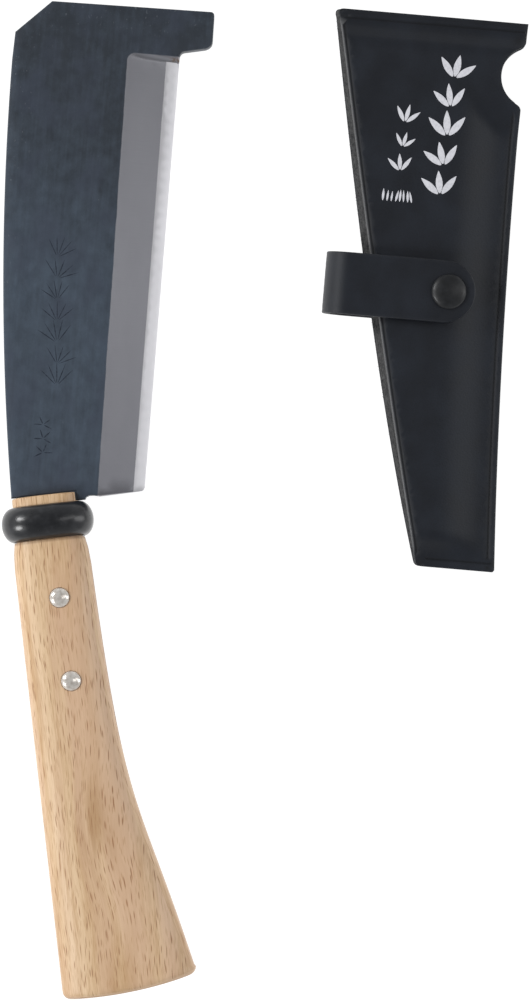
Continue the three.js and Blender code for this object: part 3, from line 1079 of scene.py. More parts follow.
@dataclass(frozen=True)
class GlossFinish:
    """A hard coat over metal, with soft waves and a few dull patches."""

    name: str
    colour: Colour
    roughness: float = 0.2
    coat: float = 0.6
    wave: float = 0.12

    def paint(self, frame: Matrix) -> bpy.types.Material:
        """Build the material.

        Args:
            frame: The frame its pattern follows.

        Returns:
            The material.
        """
        paint = Paint(self.name)
        place = paint.millimetres(frame)
        waves = paint.cloud(place, (5, 3.2, 5), 2, 0.5)
        dust = paint.cloud(place, (0.4, 0.4, 0.4), 2, 0.5)
        worn = paint.cloud(place, (3, 3, 3), 4, 0.6)
        lighter = tuple(min(1.0, c * 1.7 + 0.004) for c in self.colour[:3]) + (1.0,)
        return paint.dress(
            Base_Color=paint.blend(worn.eased(0.42, 0.72), self.colour, lighter),
            Roughness=self.roughness + (worn - 0.5) * 0.16,
            Coat_Weight=self.coat,
            Coat_Roughness=0.12,
            Normal=paint.relief(waves * 0.9 + dust * 0.1, self.wave),
        )


@dataclass(frozen=True)
class NickelFinish:
    """Bright plated metal with light wear."""

    pale: Colour = tone(240, 234, 226)
    warm: Colour = tone(206, 197, 188)

    def paint(self, frame: Matrix) -> bpy.types.Material:
        """Build the material.

        Args:
            frame: The frame its pattern follows.

        Returns:
            The material.
        """
        paint = Paint("nickel plate")
        place = paint.millimetres(frame)
        worn = paint.cloud(place, (1.4, 1.4, 1.4), 4, 0.6)
        return paint.dress(
            Base_Color=paint.blend(worn.eased(0.35, 0.7), self.pale, self.warm),
            Metallic=0.5,
            Roughness=0.2 + (worn - 0.5) * 0.18,
            Normal=paint.relief(worn, 0.006),
        )


@dataclass(frozen=True)
class VinylFinish:
    """Black coated cloth with a fine pressed grain, with painted shade in the grain's pits and in the pressed
    seam lines, paler where worn, and painted sheen on the strap's bend.
    """

    face: Colour = tone(16, 20, 28)
    lift: Colour = tone(24, 29, 38)
    groove: Colour = tone(10, 11, 13)
    rub: Colour = tone(150, 150, 150)

    def paint(self, frame: Matrix) -> bpy.types.Material:
        """Build the material.

        Args:
            frame: The sheath's frame.

        Returns:
            The material.
        """
        paint = Paint("black vinyl")
        place = paint.millimetres(frame)
        cells = paint.node(
            "ShaderNodeTexVoronoi",
            {"feature": "SMOOTH_F1"},
            {"Vector": paint.stretched(place, (0.85, 0.7, 0.85)), "Scale": 1.0, "Smoothness": 0.6},
        )
        grain = Signal(paint, cells.outputs["Distance"])
        cloth = paint.cloud(place, (14, 18, 14), 3, 0.5)
        fine = paint.cloud(place, (0.3, 0.3, 0.3), 2, 0.5)
        seam, rub = paint.attribute("seam"), paint.attribute("rub")
        colour = paint.blend(cloth.eased(0.3, 0.75), self.face, self.lift)
        # Painted shade in the pits of the pressed grain.
        colour = paint.blend(grain.eased(0.5, 0.1) * 0.22, colour, self.groove)
        # Painted shade in the pressed seam lines.
        colour = paint.blend(seam * 0.75, colour, self.groove)
        # Paler where worn, with painted sheen on the strap's bend.
        colour = paint.blend(rub * (0.55 + (fine - 0.5) * 0.8), colour, self.rub)
        return paint.dress(
            Base_Color=colour,
            Roughness=0.5 + (cloth - 0.5) * 0.16 + seam * 0.2 + (fine - 0.5) * 0.08,
            Normal=paint.relief(grain * 0.8 + fine * 0.2, 0.035),
            Specular_IOR_Level=0.34,
        )


@dataclass(frozen=True)
class BackingFinish:
    """The cloth backing that shows on a panel's inner face."""

    dark: Colour = tone(58, 58, 60)
    pale: Colour = tone(112, 112, 112)

    def paint(self, frame: Matrix) -> bpy.types.Material:
        """Build the material.

        Args:
            frame: The sheath's frame.

        Returns:
            The material.
        """
        paint = Paint("cloth backing")
        place = paint.millimetres(frame)
        nap = paint.cloud(place, (0.35, 0.9, 0.35), 4, 0.7)
        tufts = paint.cloud(place, (1.3, 2.6, 1.3), 3, 0.6)
        return paint.dress(
            Base_Color=paint.blend((nap * 0.6 + tufts * 0.4).eased(0.3, 0.7), self.dark, self.pale),
            Roughness=0.9,
            Normal=paint.relief(nap, 0.16),
            Sheen_Weight=0.15,
        )


@dataclass(frozen=True)
class PlainFinish:
    """A matt finish with a light mottle, for ink, filler and fibres."""

    name: str
    colour: Colour
    shade: Colour
    roughness: float = 0.7
    shine: float = 0.4

    def paint(self, frame: Matrix) -> bpy.types.Material:
        """Build the material.

        Args:
            frame: The frame its pattern follows.

        Returns:
            The material.
        """
        paint = Paint(self.name)
        place = paint.millimetres(frame)
        mottle = paint.cloud(place, (0.9, 0.9, 0.9), 4, 0.6)
        return paint.dress(
            Base_Color=paint.blend(mottle.eased(0.35, 0.7), self.colour, self.shade),
            Roughness=self.roughness,
            Specular_IOR_Level=self.shine,
            Normal=paint.relief(mottle, 0.02),
        )


# ---- Geometry trees --------------------------------------------------------------------------------------


class Tree(Wires):
    """A geometry tree with named inputs."""

    def __init__(self, name: str, inputs: dict[str, str]) -> None:
        """Start the tree.

        Args:
            name: Its name.
            inputs: Each input's name and socket type.
        """
        self.group = bpy.data.node_groups.new(name, "GeometryNodeTree")
        self.group.interface.new_socket(name="Geometry", in_out="INPUT", socket_type="NodeSocketGeometry")
        for label, kind in inputs.items():
            self.group.interface.new_socket(name=label, in_out="INPUT", socket_type=kind)
        self.group.interface.new_socket(name="Geometry", in_out="OUTPUT", socket_type="NodeSocketGeometry")
        super().__init__(self.group)
        self.given = self.node("NodeGroupInput")

    def take(self, name: str) -> bpy.types.NodeSocket:
        """The socket of a named input."""
        return self.given.outputs[name]

    def number(self, name: str) -> Signal:
        """A named input as a number for arithmetic."""
        return Signal(self, self.given.outputs[name])

    def close(self, geometry: bpy.types.NodeSocket) -> None:
        """End the tree with plain, finished geometry.

        Args:
            geometry: The geometry's socket.
        """
        plain = self.node("GeometryNodeRealizeInstances", None, {"Geometry": geometry}).outputs[0]
        dressed = self.node(
            "GeometryNodeSetMaterial", None, {"Geometry": plain, "Material": self.take("Material")}
        ).outputs[0]
        self.node("NodeGroupOutput", None, {"Geometry": dressed})

    def grow(
        self, name: str, values: dict[str, object], base: bpy.types.Mesh | None = None
    ) -> bpy.types.Object:
        """Make an object from the tree.

        Args:
            name: The object's name.
            values: The inputs' values by name.
            base: The mesh that the tree starts from, if it needs one.

        Returns:
            The object as a plain mesh.
        """
        made = bpy.data.objects.new(name, base or bpy.data.meshes.new(name))
        bpy.context.scene.collection.objects.link(made)
        modifier = made.modifiers.new("Grow", "NODES")
        modifier.node_group = self.group
        for item in self.group.interface.items_tree:
            if item.item_type == "SOCKET" and item.in_out == "INPUT" and item.name in values:
                modifier[item.identifier] = values[item.name]
        settle(made)
        made.data.name = name
        made.data.shade_smooth()
        made.data.set_sharp_from_angle(angle=math.radians(35))
        return made

    def line(self, count: str, start: str, step: str) -> bpy.types.NodeSocket:
        """Points in a row.

        Args:
            count: The input that counts them.
            start: The input for the first one's place.
            step: The input for the gap to the next.

        Returns:
            The points' geometry.
        """
        return self.node(
            "GeometryNodeMeshLine",
            {"mode": "OFFSET"},
            {"Count": self.take(count), "Start Location": self.take(start), "Offset": self.take(step)},
        ).outputs[0]

    def cylinder(
        self,
        sides: int,
        radius: bpy.types.NodeSocket | float = 1.0,
        depth: bpy.types.NodeSocket | float = 1.0,
    ) -> bpy.types.NodeSocket:
        """A cylinder about the origin."""
        sizes = {"Vertices": sides, "Radius": radius, "Depth": depth}
        return self.node("GeometryNodeMeshCylinder", None, sizes).outputs[0]

    def shaped(
        self,
        geometry: bpy.types.NodeSocket,
        rule: Callable[[Signal, Signal, Signal], Sequence[Signal | float]],
    ) -> bpy.types.NodeSocket:
        """Move every point by a rule on its place.

        Args:
            geometry: The geometry.
            rule: Gives the new x, y and z.

        Returns:
            The moved geometry.
        """
        position = self.node("GeometryNodeInputPosition").outputs[0]
        split = self.node("ShaderNodeSeparateXYZ", None, {0: position})
        moved = rule(*(Signal(self, socket) for socket in split.outputs))
        joined = self.node("ShaderNodeCombineXYZ", None, dict(enumerate(moved))).outputs[0]
        placed = {"Geometry": geometry, "Position": joined}
        return self.node("GeometryNodeSetPosition", None, placed).outputs[0]

    def random(
        self,
        low: Spot | bpy.types.NodeSocket,
        high: Spot | bpy.types.NodeSocket,
        seed: bpy.types.NodeSocket | int,
    ) -> bpy.types.NodeSocket:
        """A random vector for each point, between two corners, from a fixed seed."""
        limits = {"Min": low, "Max": high, "Seed": seed}
        return self.node("FunctionNodeRandomValue", {"data_type": "FLOAT_VECTOR"}, limits).outputs[0]

    def scatter(
        self,
        points: bpy.types.NodeSocket,
        instance: bpy.types.NodeSocket,
        rotation: bpy.types.NodeSocket,
        scale: bpy.types.NodeSocket | Spot = (1, 1, 1),
    ) -> bpy.types.NodeSocket:
        """Put a copy of some geometry on every point."""
        given = {"Points": points, "Instance": instance, "Rotation": rotation, "Scale": scale}
        return self.node("GeometryNodeInstanceOnPoints", None, given).outputs[0]


def rivet_tree() -> Tree:
    """Build the tree for a row of dome-headed rivets on shanks.

    Returns:
        The tree.
    """
    floats = ["Head Radius", "Dome Height", "Shank Radius", "Shank Length"]
    tree = Tree(
        "Rivet row",
        {"Count": "NodeSocketInt", "Start": "NodeSocketVector", "Step": "NodeSocketVector"}
        | {"Turn": "NodeSocketVector", "Material": "NodeSocketMaterial"}
        | dict.fromkeys(floats, "NodeSocketFloat"),
    )
    round_head = {"Segments": 48, "Rings": 32, "Radius": 1.0}
    ball = tree.node("GeometryNodeMeshUVSphere", None, round_head).outputs[0]
    wide, tall = tree.number("Head Radius"), tree.number("Dome Height")
    head = tree.shaped(ball, lambda x, y, z: (x * wide, y * wide, z.most(-0.18) * tall))
    rod = tree.cylinder(32)
    slim, long = tree.number("Shank Radius"), tree.number("Shank Length")
    shank = tree.shaped(rod, lambda x, y, z: (x * slim, y * slim, (z - 0.5) * long))
    joined = tree.node("GeometryNodeJoinGeometry")
    for part in (head, shank):
        tree.tree.links.new(part, joined.inputs[0])
    row = tree.line("Count", "Start", "Step")
    tree.close(tree.scatter(row, joined.outputs[0], tree.take("Turn")))
    return tree


def row_values(frame: Matrix, turn: Matrix, start: Spot, end: Spot, count: int) -> dict[str, object]:
    """The inputs that lay out a row of copies.

    Args:
        frame: Where the local frame lies.
        turn: How each copy is turned.
        start: The first copy's place in the frame's millimetres.
        end: The last copy's place.
        count: How many copies there are.

    Returns:
        The values by input name.
    """
    first, last = (frame @ (Vector(place) * MM) for place in (start, end))
    step = (last - first) / (count - 1)
    return {"Count": count, "Start": tuple(first), "Step": tuple(step), "Turn": tuple(turn.to_euler())}


@dataclass(frozen=True)
class Sprigs:
    """A column of small fans, sized in millimetres."""

    start: Point
    end: Point
    count: int
    leaves: int
    leaf_width: float
    leaf_length: float
    spread: float
    seed: int

    def plant(
        self, name: str, tree: Tree, frame: Matrix, level: float, thickness: float, finish: bpy.types.Material
    ) -> bpy.types.Object:
        """Make the column.

        Args:
            name: The object's name.
            tree: The tree that grows it.
            frame: Where the local frame lies.
            level: Its height.
            thickness: How thick each leaf is.
            finish: Its material.

        Returns:
            The column as a plain mesh.
        """
        values = row_values(frame, frame, (*self.start, level), (*self.end, level), self.count) | {
            "Leaves": self.leaves,
            "Leaf Width": self.leaf_width * MM,
            "Leaf Length": self.leaf_length * MM,
            "Thickness": thickness * MM,
            "Spread": self.spread,
            "Seed": self.seed,
            "Material": finish,
        }
        return tree.grow(name, values)


def sprig_tree() -> Tree:
    """Build the tree for a column of small leaf sprigs, each a fan of leaves that differs a little.

    Returns:
        The tree.
    """
    floats = ["Leaf Width", "Leaf Length", "Thickness", "Spread"]
    tree = Tree(
        "Sprig column",
        {"Count": "NodeSocketInt", "Leaves": "NodeSocketInt", "Start": "NodeSocketVector"}
        | {"Step": "NodeSocketVector", "Turn": "NodeSocketVector", "Seed": "NodeSocketInt"}
        | {"Material": "NodeSocketMaterial"}
        | dict.fromkeys(floats, "NodeSocketFloat"),
    )
    disc = tree.cylinder(20)
    wide, long, thick = (tree.number(name) for name in floats[:3])
    leaf = tree.shaped(
        disc, lambda x, y, z: (x * wide * (1.0 - y * y * 0.45 - y * 0.2), (y * 0.5 + 0.62) * long, z * thick)
    )
    stack = {"Count": tree.take("Leaves"), "Offset": (0, 0, 0)}
    fan_points = tree.node("GeometryNodeMeshLine", {"mode": "OFFSET"}, stack).outputs[0]
    index = Signal(tree, tree.node("GeometryNodeInputIndex").outputs[0])
    middle = (tree.number("Leaves") - 1.0) * 0.5
    turn = tree.node("ShaderNodeCombineXYZ", None, {2: (index - middle) * tree.number("Spread")})
    fan = tree.scatter(fan_points, leaf, turn.outputs[0])
    sprig = tree.node("GeometryNodeRealizeInstances", None, {"Geometry": fan}).outputs[0]
    nod = tree.random((0, 0, -0.3), (0, 0, 0.3), tree.take("Seed"))
    local = tree.node("FunctionNodeEulerToRotation", None, {0: nod}).outputs[0]
    base = tree.node("FunctionNodeEulerToRotation", None, {0: tree.take("Turn")}).outputs[0]
    rotation = tree.node(
        "FunctionNodeRotateRotation", {"rotation_space": "LOCAL"}, {0: base, 1: local}
    ).outputs[0]
    size = tree.random((0.86, 0.86, 1), (1.1, 1.1, 1), tree.take("Seed"))
    tree.close(tree.scatter(tree.line("Count", "Start", "Step"), sprig, rotation, size))
    return tree


def fibre_tree() -> Tree:
    """Build the tree for loose fibres scattered along a cut edge.

    Returns:
        The tree.
    """
    tree = Tree(
        "Cut edge fibres",
        {"Count": "NodeSocketInt", "Length": "NodeSocketFloat", "Radius": "NodeSocketFloat"}
        | {"Scatter": "NodeSocketVector", "Seed": "NodeSocketInt", "Material": "NodeSocketMaterial"},
    )
    curve = tree.node("GeometryNodeMeshToCurve", None, {"Mesh": tree.take("Geometry")}).outputs[0]
    sampling = {"Curve": curve, "Count": tree.take("Count")}
    even = tree.node("GeometryNodeResampleCurve", None, sampling).outputs[0]
    points = tree.node("GeometryNodeCurveToPoints", {"mode": "EVALUATED"}, {"Curve": even}).outputs[0]
    flipped = {0: tree.take("Scatter"), "Scale": -1.0}
    lowest = tree.node("ShaderNodeVectorMath", {"operation": "SCALE"}, flipped).outputs[0]
    shift = tree.random(lowest, tree.take("Scatter"), tree.take("Seed"))
    strewn = tree.node("GeometryNodeSetPosition", None, {"Geometry": points, "Offset": shift}).outputs[0]
    hair = tree.cylinder(4, tree.take("Radius"), tree.take("Length"))
    turn = tree.random((1.25, -0.4, -3.1), (1.57, 0.4, 3.1), 7)
    size = tree.random((0.7, 0.7, 0.4), (1.2, 1.2, 1.3), 11)
    tree.close(tree.scatter(strewn, hair, turn, size))
    return tree


# ---- Hatchet ---------------------------------------------------------------------------------------------


@dataclass
class Blade:
    """The forged plate with its hook, ground bevels, honed edge and tang."""

    frames: Frames
    shape: BladeShape = field(default_factory=BladeShape)
    tip_y: float = TIP_Y
    tang_half: float = 2.5
    edge_top: float = 177.6
    heel_tip: Point = (33.6, 13.4)
    heel_slope: float = 3.1 / 14.8

    def _from_grip(self, x: float, y: float) -> Point:
        """A point of the grip's frame in the hatchet's."""
        turn = math.radians(GRIP_ANGLE)
        return (x * math.cos(turn) - y * math.sin(turn), x * math.sin(turn) + y * math.cos(turn))

    def _heel(self, x: float) -> float:
        """Where the heel's slanted end lies at a place across the blade."""
        return self.heel_tip[1] - (self.heel_tip[0] - x) * self.heel_slope

    def _outline(self) -> list[Point]:
        """The plate's outline, anticlockwise from the neck.

        Returns:
            Its points.
        """
        edge = self.shape.edge_x
        path = Outline(self._from_grip(-12.6, 9.3), 3)
        path.line(*self._from_grip(11.9, 9.3)).line(*self._from_grip(11.9, 5.8))
        path.line(*self._from_grip(14.9, 5.8)).bend(self._from_grip(15.4, 8), (18.8, 10.3))
        path.line(*self.heel_tip)
        path.step = 0.5
        path.bend((edge(15.4), 13.8), (edge(15.4), 15.4))
        path.step = 3
        path.line(edge(self.edge_top - 3), self.edge_top - 3)
        path.step = 0.4
        path.line(edge(self.edge_top), self.edge_top).bend((34.6, 179.2), (36, 179.5))
        path.step = 1.2
        path.line(43.4, 181.1)
        path.step = 0.5
        path.bend((46, 181.9), (46.1, 184.2)).line(45.9, self.tip_y - 1.4)
        path.bend((45.8, self.tip_y), (44.4, self.tip_y))
        path.step = 3
        path.line(-15.2, self.tip_y - 1).line(-28.0, 181.4).line(-28.3, 171)
        path.bend((-27.5, 88), (-14.1, 7))
        return path.closed()

    def _half_height(self, x: float, y: float) -> float:
        """The upper face's height above the plate's middle.

        Args:
            x: The place across the blade.
            y: The place along it.

        Returns:
            The height.
        """
        shape = self.shape
        depth = shape.edge_x(y) - x
        bevel, honed = shape.measure(shape.bevel, y), shape.measure(shape.honed, y)
        below = shape.bevel_top - y
        if depth >= bevel or below <= 0:
            return shape.half
        slope = (shape.half - shape.honed_half) / (bevel - honed)
        height = shape.honed_half + (depth - honed) * slope
        if depth < honed and y < shape.honed_top:
            height = lerp(shape.edge_half, shape.honed_half, max(0.0, depth) / honed)
        if below < 2.6:
            height += (shape.half - height) * (1 - below / 2.6) ** 2.2
        return max(shape.edge_half, height)

    def make(self) -> None:
        """Build the plate, its tang and the honed edge, and dress them."""
        shape = self.shape
        forged = ForgedFinish().paint(self.frames.hatchet, shape)
        edge, bevel, honed, heel = shape.edge_x, shape.bevel_x, shape.honed_x, self._heel
        top = shape.bevel_top
        rows = [lerp(heel(20) + 1.2, top - 3.2, i / 40) for i in range(41)]
        corner = [
            (bevel(top) + 3 - 3 * math.cos(a), top - 3 + 3 * math.sin(a))
            for a in (math.radians(15 * i) for i in range(1, 7))
        ]
        shoulder = [(x, top) for x in (bevel(top) + 6, bevel(top) + 12, edge(top) - 0.8)]
        bevel_line = [(bevel(y), y) for y in rows] + corner + shoulder
        honed_rows = [lerp(heel(31) + 0.9, shape.honed_top - 0.4, i / 40) for i in range(41)]
        honed_line = [(honed(y), y) for y in honed_rows]
        fillet = [
            [(lerp(bevel(y) + 1, edge(y) - 0.9, i / 12), y) for i in range(13)]
            for y in (top - 2.6, top - 2.1, top - 1.6, top - 1.15, top - 0.75, top - 0.4)
        ]
        body = Shell().slab(
            self._outline(),
            self._half_height,
            lambda x, y: -self._half_height(x, y),
            rounding=0.55,
            spacing=5,
            creases=[bevel_line, honed_line],
            guides=fillet,
        )
        tang = [
            [(*self._from_grip(x, y), z) for x, z in ((left, -z0), (right, -z0), (right, z0), (left, z0))]
            for y, left, right, z0 in (
                (-86, -1, 11.0, self.tang_half),
                (-60, -4, 11.9, self.tang_half),
                (-8, -9.5, 11.9, self.tang_half),
                (9.6, -9.5, 11.9, self.tang_half),
            )
        ]
        body.loft(tang)
        made = build("blade_plate", body, self.frames.hatchet, [forged], sharp=24)
        enlist(made, Body.HATCHET, ["blade_body"])

        lip = 0.02
        strip: list[Point] = [(honed(heel(30.4) + 0.3), heel(30.4) + 0.3), (33.6, 13.42)]
        strip += [(edge(14.1) - 0.4, 13.9), (edge(15.4), 15.4)]
        strip += [(edge(y), y) for y in (lerp(18, shape.honed_top, i / 50) for i in range(51))]
        strip += [(honed(y), y) for y in (lerp(shape.honed_top, 18, i / 50) for i in range(51))]
        wedge = Shell().slab(
            strip,
            lambda x, y: self._half_height(x, y) + lip,
            lambda x, y: -self._half_height(x, y) - lip,
            rounding=0.03,
            spacing=2.2,
        )
        bright = HonedFinish().paint(self.frames.hatchet)
        made = build("honed_edge", wedge, self.frames.hatchet, [bright], sharp=40)
        enlist(made, Body.HATCHET, ["blade_edge_steel"])
        self._make_marks()

    def _make_marks(self) -> None:
        """Lay two groups of small chisel marks on the plate beside the spine."""
        frame = self.frames.hatchet
        scar = PlainFinish("chisel mark", tone(40, 45, 54), tone(60, 67, 78), 0.7, 0.1).paint(frame)
        tree = sprig_tree()
        level = self.shape.half + 0.004
        groups = {
            "smith_marks": Sprigs((-4.8, 98), (-0.8, 50), 7, 5, 0.2, 7.4, 0.42, 5),
            "smith_stamp": Sprigs((-4.6, 35), (-3.8, 24.6), 3, 4, 0.24, 3.2, 1.2, 2),
        }
        for name, sprigs in groups.items():
            enlist(sprigs.plant(name, tree, frame, level, 0.02, scar), Body.HATCHET)


@dataclass
class Grip:
    """The wooden handle, its ferrule and the two through rivets."""

    frames: Frames
    spine_x: float = -14.2
    belly: tuple[Point, ...] = ((14.2, -7.9), (16.5, -117), (21.3, -99), (36.2, -175))
    butt_y: float = -178.5
    shoulder_y: float = -7.9
    half: Point = (10.5, 11.8)
    butt_round: float = 2.6
    tenon: Point = (12.4, 8.9)
    top_y: float = 8.8
    rivets: tuple[Point, ...] = ((1.5, -30), (2.3, -61.2))
    head_radius: float = 3.7
    ferrule_bore: Point = (12.6, 9.05)
    ferrule_roll: Point = (6.5, 4.6)

    def _belly(self, share: float) -> Point:
        """A point of the belly's curve.

        Args:
            share: 0 at the shoulder and 1 at the butt.

        Returns:
            The point.
        """
        t, u = share, 1 - share
        weights = (u**3, 3 * u * u * t, 3 * u * t * t, t**3)
        return (
            sum(w * p[0] for w, p in zip(weights, self.belly)),
            sum(w * p[1] for w, p in zip(weights, self.belly)),
        )

    def _butt(self, x: float) -> float:
        """Where the butt's shallow arc lies."""
        return self.butt_y + 0.0032 * (x + 2) ** 2

    def _ring(self, station: float, inset: float = 0, back: float = 0, count: int = 88) -> list:
        """A ring of the handle.

        Args:
            station: 0 at the shoulder and 1 at the butt.
            inset: How far it is drawn in.
            back: How far it is held back from the butt.
            count: How many points it has.

        Returns:
            The ring's points.
        """
        belly_x, belly_y = self._belly(station)
        share = (self.shoulder_y - belly_y) / (self.shoulder_y + 175)
        half_x = (belly_x - self.spine_x) / 2 - inset
        half_z = lerp(*self.half, share) - inset
        middle = (belly_x + self.spine_x) / 2
        ring = []
        for i in range(count):
            x, z = oval((i + 0.5) / count * 2 * math.pi, half_x, half_z, 3)
            ring.append((middle + x, lerp(self.shoulder_y, self._butt(middle + x) + back, share), z))
        return ring

    def _tenon_ring(self, y: float, trim: float = 0) -> list:
        """A ring of the tenon that runs up through the ferrule.

        Args:
            y: Its place along the handle.
            trim: How far it is drawn in.

        Returns:
            The ring's points.
        """
        points = []
        for i in range(88):
            x, z = oval((i + 0.5) / 88 * 2 * math.pi, self.tenon[0] - trim, self.tenon[1] - trim, 2.7)
            points.append((x, y, z))
        return points

    def make(self) -> None:
        """Build and dress the handle, the ferrule and the rivets."""
        frame = self.frames.grip
        beech = BeechFinish().paint(frame)
        rounding = ((0, 0.55), (0.12, 0.3), (0.4, 0.08), (0.8, 0))
        rings = [self._tenon_ring(self.top_y - drop, trim) for drop, trim in rounding]
        rings += [self._tenon_ring(self.shoulder_y)]
        rings += [self._ring(0, 1.0), self._ring(0.012, 0.35), self._ring(0.03)]
        rings += [self._ring(lerp(0.05, 0.985, i / 60)) for i in range(61)]
        for i in range(1, 9):
            angle = i / 8 * math.pi / 2
            inset, back = self.butt_round * (1 - math.cos(angle)), self.butt_round * (1 - math.sin(angle))
            rings.append(self._ring(1, inset, back))
        rings.append(self._ring(1, self.butt_round + 4, -0.05))
        handle = build("beech_handle", Shell().loft(rings), frame, [beech], sharp=38)

        slot = [(-9.8, -8), (-1.3, -86.3), (60, -86.3), (60, 20), (-9.8, 20)]
        cutter = Shell().slab(slot, lambda x, y: 2.8, lambda x, y: -2.8, rounding=0.05, spacing=30)
        neck = [(11.3, 5.6), (30, 5.6), (30, 20), (11.3, 20)]
        room = Shell().slab(neck, lambda x, y: 20, lambda x, y: -20, rounding=0.2, spacing=9)
        cutters = [build("slot", cutter, frame, [beech]), build("neck", room, frame, [beech])]
        for x, y in self.rivets:
            seat, wide = self._face(y) - 0.8, self.head_radius + 0.15
            for side in (1, -1):
                well = [(radius, side * z) for radius, z in ((0, seat), (wide, seat), (wide, 20), (0, 20))]
                cutters.append(build("well", Shell().turned(well, x, y), frame, [beech]))
        carve(handle, cutters)
        handle.data.shade_smooth()
        handle.data.set_sharp_from_angle(angle=math.radians(38))
        enlist(handle, Body.HATCHET, ["handle"])
        self._make_ferrule()
        self._make_rivets()

    def _face(self, y: float) -> float:
        """The height of the handle's face."""
        return lerp(*self.half, (y - self.shoulder_y) / (self.butt_y - self.shoulder_y))

    def _make_ferrule(self) -> None:
        """Build the rolled ring with its rounded wall."""
        roll = [oval(math.pi * (0.05 + 0.9 * k / 22), *self.ferrule_roll, 2) for k in range(23)]
        wall = [(6.1, 0.05), *roll, (-6.1, 0.05)]
        rings = []
        for i in range(128):
            ring = []
            for along, out in wall:
                half_x, half_z = (half + out for half in self.ferrule_bore)
                x, z = oval(i / 128 * 2 * math.pi, half_x, half_z, 2.7)
                ring.append((x, FERRULE_CENTRE + along, z))
            rings.append(ring)
        lacquer = GlossFinish("black lacquer", tone(25, 26, 29), 0.3, 0.2, 0.12).paint(self.frames.grip)
        made = build("ferrule_ring", Shell().loft(rings, capped=False), self.frames.grip, [lacquer], sharp=50)
        enlist(made, Body.HATCHET, ["ferrule"])

    def _make_rivets(self) -> None:
        """Set the heads of the hollow rivets and their posts."""
        frame = self.frames.grip
        nickel = NickelFinish().paint(frame)
        tree = rivet_tree()
        sets = {"rivet_posts": (1, "post", 2.0), "rivet_barrels": (-1, "barrel", 2.5)}
        for name, (side, kind, shank) in sets.items():
            ends = [(x, y, side * (self._face(y) - 0.05)) for x, y in self.rivets]
            flip = Matrix.Rotation(0 if side > 0 else math.pi, 4, "X")
            values = row_values(frame, frame @ flip, *ends, len(ends)) | {
                "Head Radius": self.head_radius * MM,
                "Dome Height": 1.55 * MM,
                "Shank Radius": shank * MM,
                "Shank Length": 10 * MM,
                "Material": nickel,
            }
            nodes = [f"rivet_{place}_{kind}" for place in ("front", "rear")]
            enlist(tree.grow(name, values), Body.HATCHET, nodes)


# ---- Sheath ----------------------------------------------------------------------------------------------


